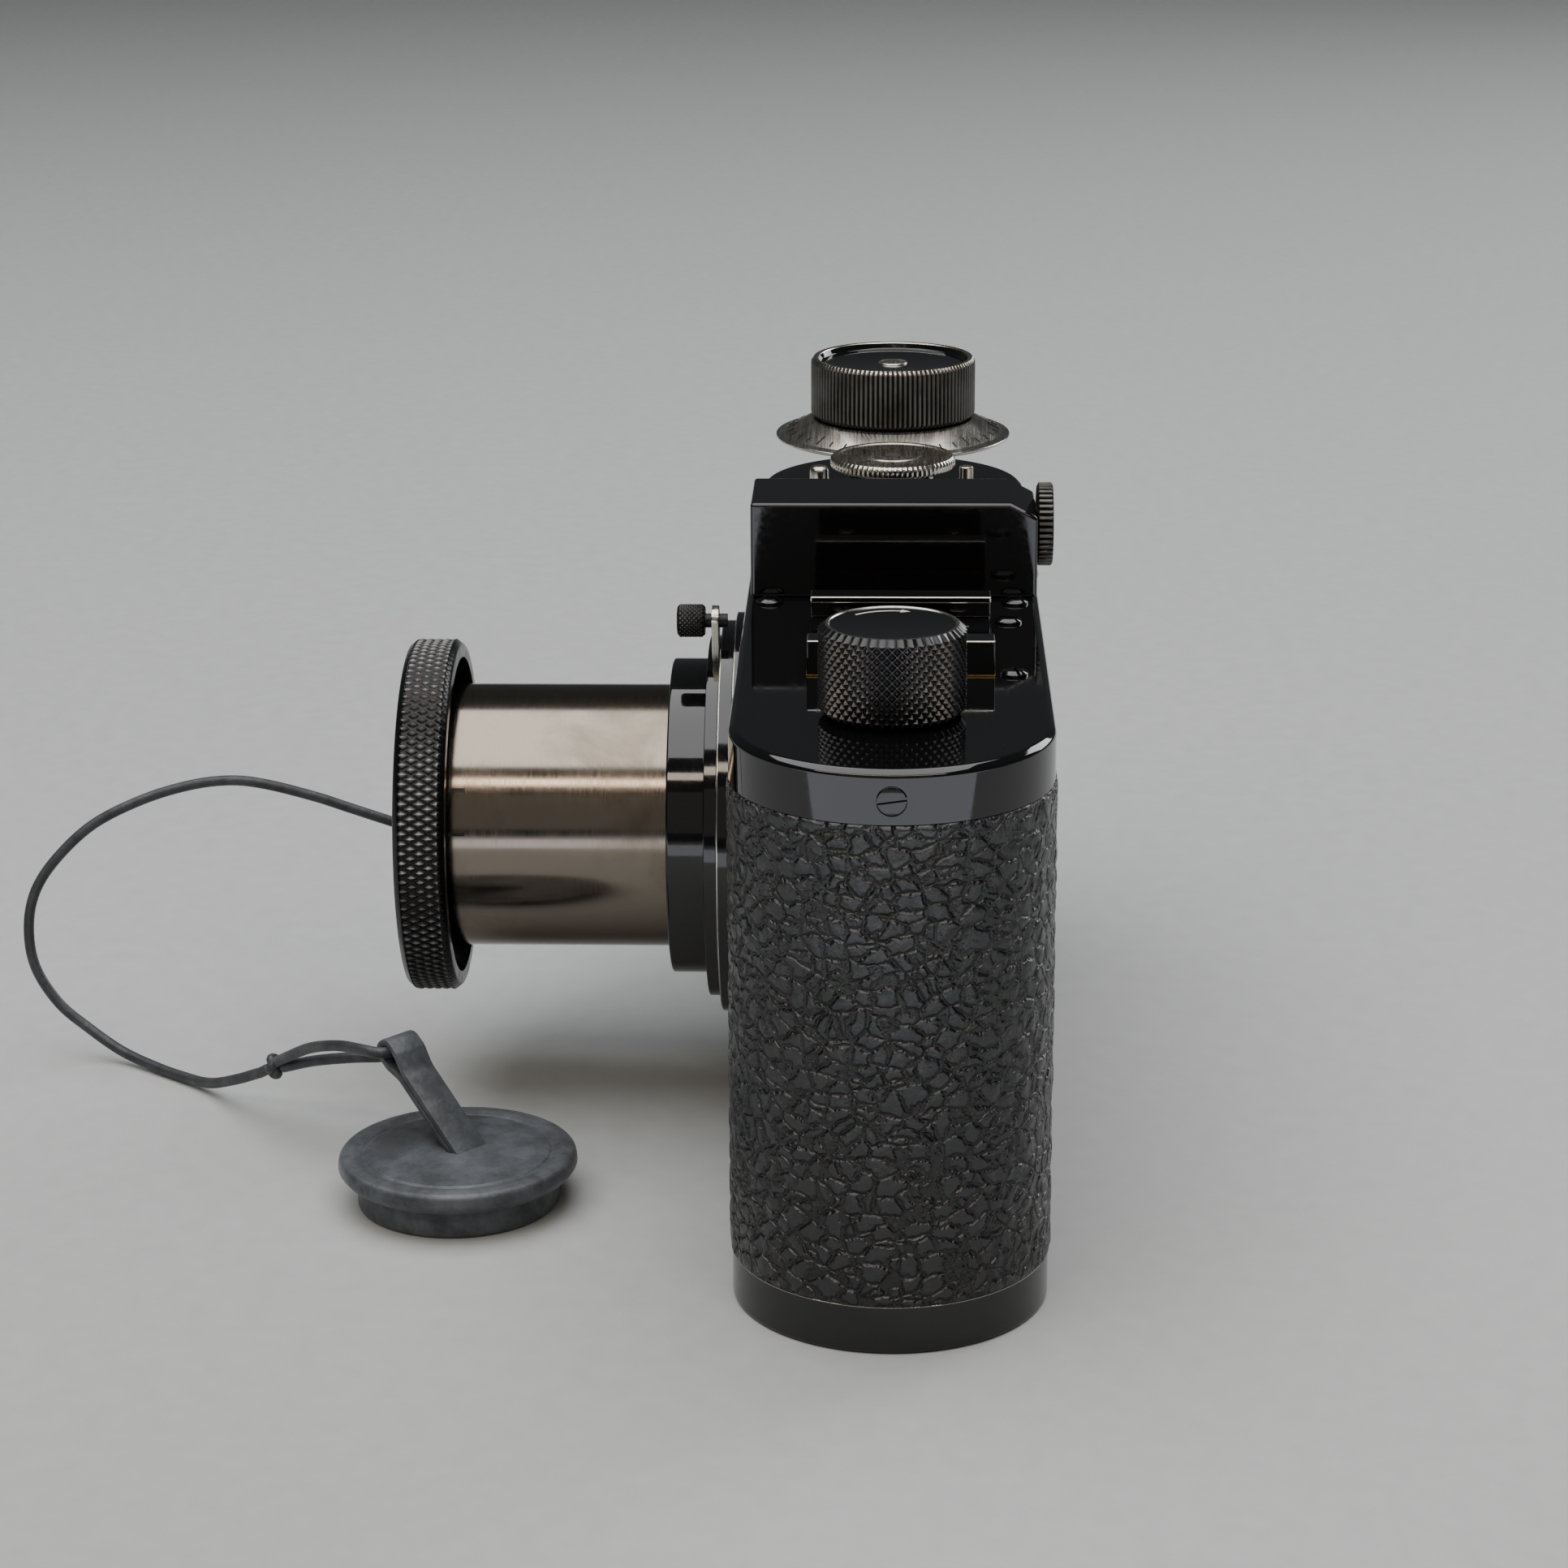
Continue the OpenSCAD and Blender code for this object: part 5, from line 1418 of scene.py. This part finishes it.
    def lean(self) -> Matrix:
        """Returns the strap's place: its root, its run along Z and its width along Y."""
        low, high = corners("lens_cap")
        root = Vector(((low.x + high.x) / 2, (low.y + high.y) / 2 + 1.3, high.z - 0.7))
        run = Vector((-7.8, -8.8, 10.1))
        turn = Matrix.Rotation(math.atan2(run.y, run.x), 4, "Z") @ Matrix.Rotation(run.angle(Vector((0, 0, 1))), 4, "Y")
        return Matrix.Translation(root) @ turn

    def strap_fold(self) -> None:
        """Builds the strap: one band doubled round the loop, its two layers pressed together."""
        long, hide = 15.4, self.hide
        gap, eye = 0.05, 0.72
        outer = [(-gap - hide, -1.2), (-gap - hide, long - 4.6, 3.0), (-eye - hide, long - 2.6, 1.5),
                 (-eye - hide, long, 1.3), (eye + hide, long, 1.3), (eye + hide, long - 2.6, 1.5),
                 (gap + hide, long - 4.6, 3.0), (gap + hide, -1.2)]
        inner = [(gap, -1.2), (gap, long - 4.7, 2.5), (eye, long - 2.6, 1.5), (eye, long - hide, 0.7),
                 (-eye, long - hide, 0.7), (-eye, long - 2.6, 1.5), (-gap, long - 4.7, 2.5), (-gap, -1.2)]
        outline = fillet(outer + inner, 5)
        band = extruded(outline, self.strap, 0.12, 2)
        bmesh.ops.transform(band, matrix=self.lean() @ Matrix.Rotation(math.pi / 2, 4, "X")
                            @ Matrix.Translation((0, 0, -self.strap / 2)), verts=band.verts)
        install(finished(band, "doubled_strap", CAP_LEATHER, broad=False), "cap", "cap_leather", "cap_strap")

    def cap(self) -> None:
        """Builds the cap: soft rim, tooled ring line, crowned top and the slit for the strap."""
        low, high = corners("lens_cap")
        x, y, r, top = (low.x + high.x) / 2, (low.y + high.y) / 2, (high.x - low.x) / 2, high.z
        plug = r - 1.95
        profile = fillet([(0, 0), (plug, 0, 0.35), (plug - 0.15, 3.2, 0.25), (r - 0.75, 3.25, 0.5), (r, 4.1, 0.7),
                          (r - 0.2, top - 0.2, 0.7), (r - 1.6, top + 0.02, 1.0), (10.1, top - 0.22, 0.3),
                          (9.8, top - 0.38, 0.2), (9.5, top - 0.16, 0.3), (6.0, top - 0.03, 8.0), (0, top)], 6)
        shell = turned(profile, "leather_cap", CAP_LEATHER, (x, y, 0), steps=128)
        slit = block((1.5, self.strap + 0.5, 2.4), (0.5, 0, 0.4), 0.2)
        bmesh.ops.transform(slit, matrix=self.lean(), verts=slit.verts)
        install(cut(shell, slit), "cap", "cap_leather", "lens_cap")


@dataclass
class Inside:
    """The parts of the works that keep their CAD shape, each in its own metal, cloth or paint."""

    def build(self) -> None:
        """Gives every CAD piece that is still shown its finish."""
        finishes = {FRAME_METAL: ("body_shell", "shutter_crate", "pressure_plate", "curtain_drum", "curtain_roller"),
                    INSIDE_PAINT: ("film_gate",),
                    NICKEL: ("plate_springs", "wind_shaft", "sprocket_drum", "release_spring", "rewind_shaft"),
                    BRASS: ("wind_gear", "sprocket_gear", "drum_gear"),
                    CASSETTE: ("film_cassette", "take_up_spool", "cassette_spool"),
                    CLOTH: ("shutter_curtains",),
                    BLUED_STEEL: ("iris_leaves",)}
        for finish, names in finishes.items():
            for name in names:
                self.dress(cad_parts[name], finish)
        shown = [node.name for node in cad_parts.values() if not node.hide_render]
        LOG.info("%d CAD pieces are shown: %s", len(shown), ", ".join(sorted(shown)))

    def dress(self, node: bpy.types.Object, finish: Finish) -> None:
        """Puts one finish on each material slot of a CAD piece.

        Args:
            node: The CAD piece.
            finish: Its finish.
        """
        if not node.data.materials:
            node.data.materials.append(finish.material())
        for i in range(len(node.data.materials)):
            node.data.materials[i] = finish.material()


@dataclass
class Softbox:
    """One soft studio light."""

    name: str
    at: Point3
    towards: Point3
    size: tuple[float, float]
    watts: float
    colour: str = "#ffffff"

    def build(self) -> bpy.types.Object:
        """Hangs the light and returns it."""
        lamp = bpy.data.lights.new(self.name, "AREA")
        lamp.shape, lamp.size, lamp.size_y = "RECTANGLE", *self.size
        lamp.energy, lamp.color = self.watts, linear(self.colour)[:3]
        light = bpy.data.objects.new(self.name, lamp)
        light.location = self.at
        light.rotation_euler = (Vector(self.towards) - Vector(self.at)).to_track_quat("-Z", "Y").to_euler()
        bpy.context.scene.collection.objects.link(light)
        return light


@dataclass
class Studio:
    """The camera, the pale floor and the lights."""

    yaw: float = -0.029
    pitch: float = 0.302
    roll: float = -0.005
    focal: float = 88.45

    def build(self) -> None:
        """Sets up the whole studio."""
        self.camera()
        self.floor()
        self.lights()

    def camera(self) -> None:
        """Stands the camera beyond the rewinding end, looking slightly down along the body."""
        flat = math.cos(self.pitch)
        ahead = Vector((-flat * math.cos(self.yaw), flat * math.sin(self.yaw), -math.sin(self.pitch)))
        right = ahead.cross(Vector((0, 0, 1))).normalized()
        up = right.cross(ahead)
        across = math.cos(self.roll) * right + math.sin(self.roll) * up
        above = -math.sin(self.roll) * right + math.cos(self.roll) * up
        data = bpy.data.cameras.new("studio_camera")
        data.lens, data.sensor_width, data.clip_start = self.focal, 36.0, 0.01
        camera = bpy.data.objects.new("studio_camera", data)
        camera.matrix_world = Matrix.Translation((0.3996, -0.0001, 0.16056)) @ Matrix(
            (across, above, -ahead)).transposed().to_4x4()
        bpy.context.scene.collection.objects.link(camera)
        bpy.context.scene.camera = camera

    def floor(self) -> None:
        """Lays the floor, which isn't part of the object."""
        bm = bmesh.new()
        bmesh.ops.create_grid(bm, x_segments=1, y_segments=1, size=5000)
        paper = finished(bm, "studio_floor", MottledCoat("pale_paper", colour="#a9acac", roughness=0.75, grain_mm=0.5, shade=0.94),
                         broad=False)

    def lights(self) -> None:
        """Hangs the softboxes and sets the even light of the room."""
        Softbox("overhead", (0.0, -0.15, 0.95), (0, -0.15, 0.03), (1.1, 1.3), 16).build()
        Softbox("high_strip", (0.58, -0.12, 0.62), (0, -0.06, 0.03), (1.3, 0.075), 3.0, "#ffeedb").build()
        Softbox("front_low", (0.29, 0.0, 0.003), (0.29, 0.0, 1.0), (0.28, 0.8), 1.0, "#eef1ff").build()
        Softbox("room_side", (1.35, -0.1, 0.5), (0, -0.03, 0.03), (1.6, 0.75), 0.9, "#f3e9df").build()
        Softbox("back_rim", (-0.75, 0.75, 0.5), (0, 0, 0.05), (0.5, 0.5), 5.0).build()
        world = bpy.data.worlds.new("room")
        world.use_nodes = True
        back = world.node_tree.nodes["Background"]
        back.inputs["Color"].default_value, back.inputs["Strength"].default_value = linear("#8f9496"), 0.2
        bpy.context.scene.world = world


def main() -> None:
    """Builds the studio and the camera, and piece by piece."""
    logging.basicConfig(level=logging.INFO, format="%(name)s: %(message)s")
    for group in (Studio(), CapAndCord(), Body(), TopFittings(), WindingSide(), RewindKnob(), LensMount(), Barrel(),
                  Inside()):
        LOG.info("building: %s", type(group).__name__)
        group.build()


if __name__ == "__main__":
    main()
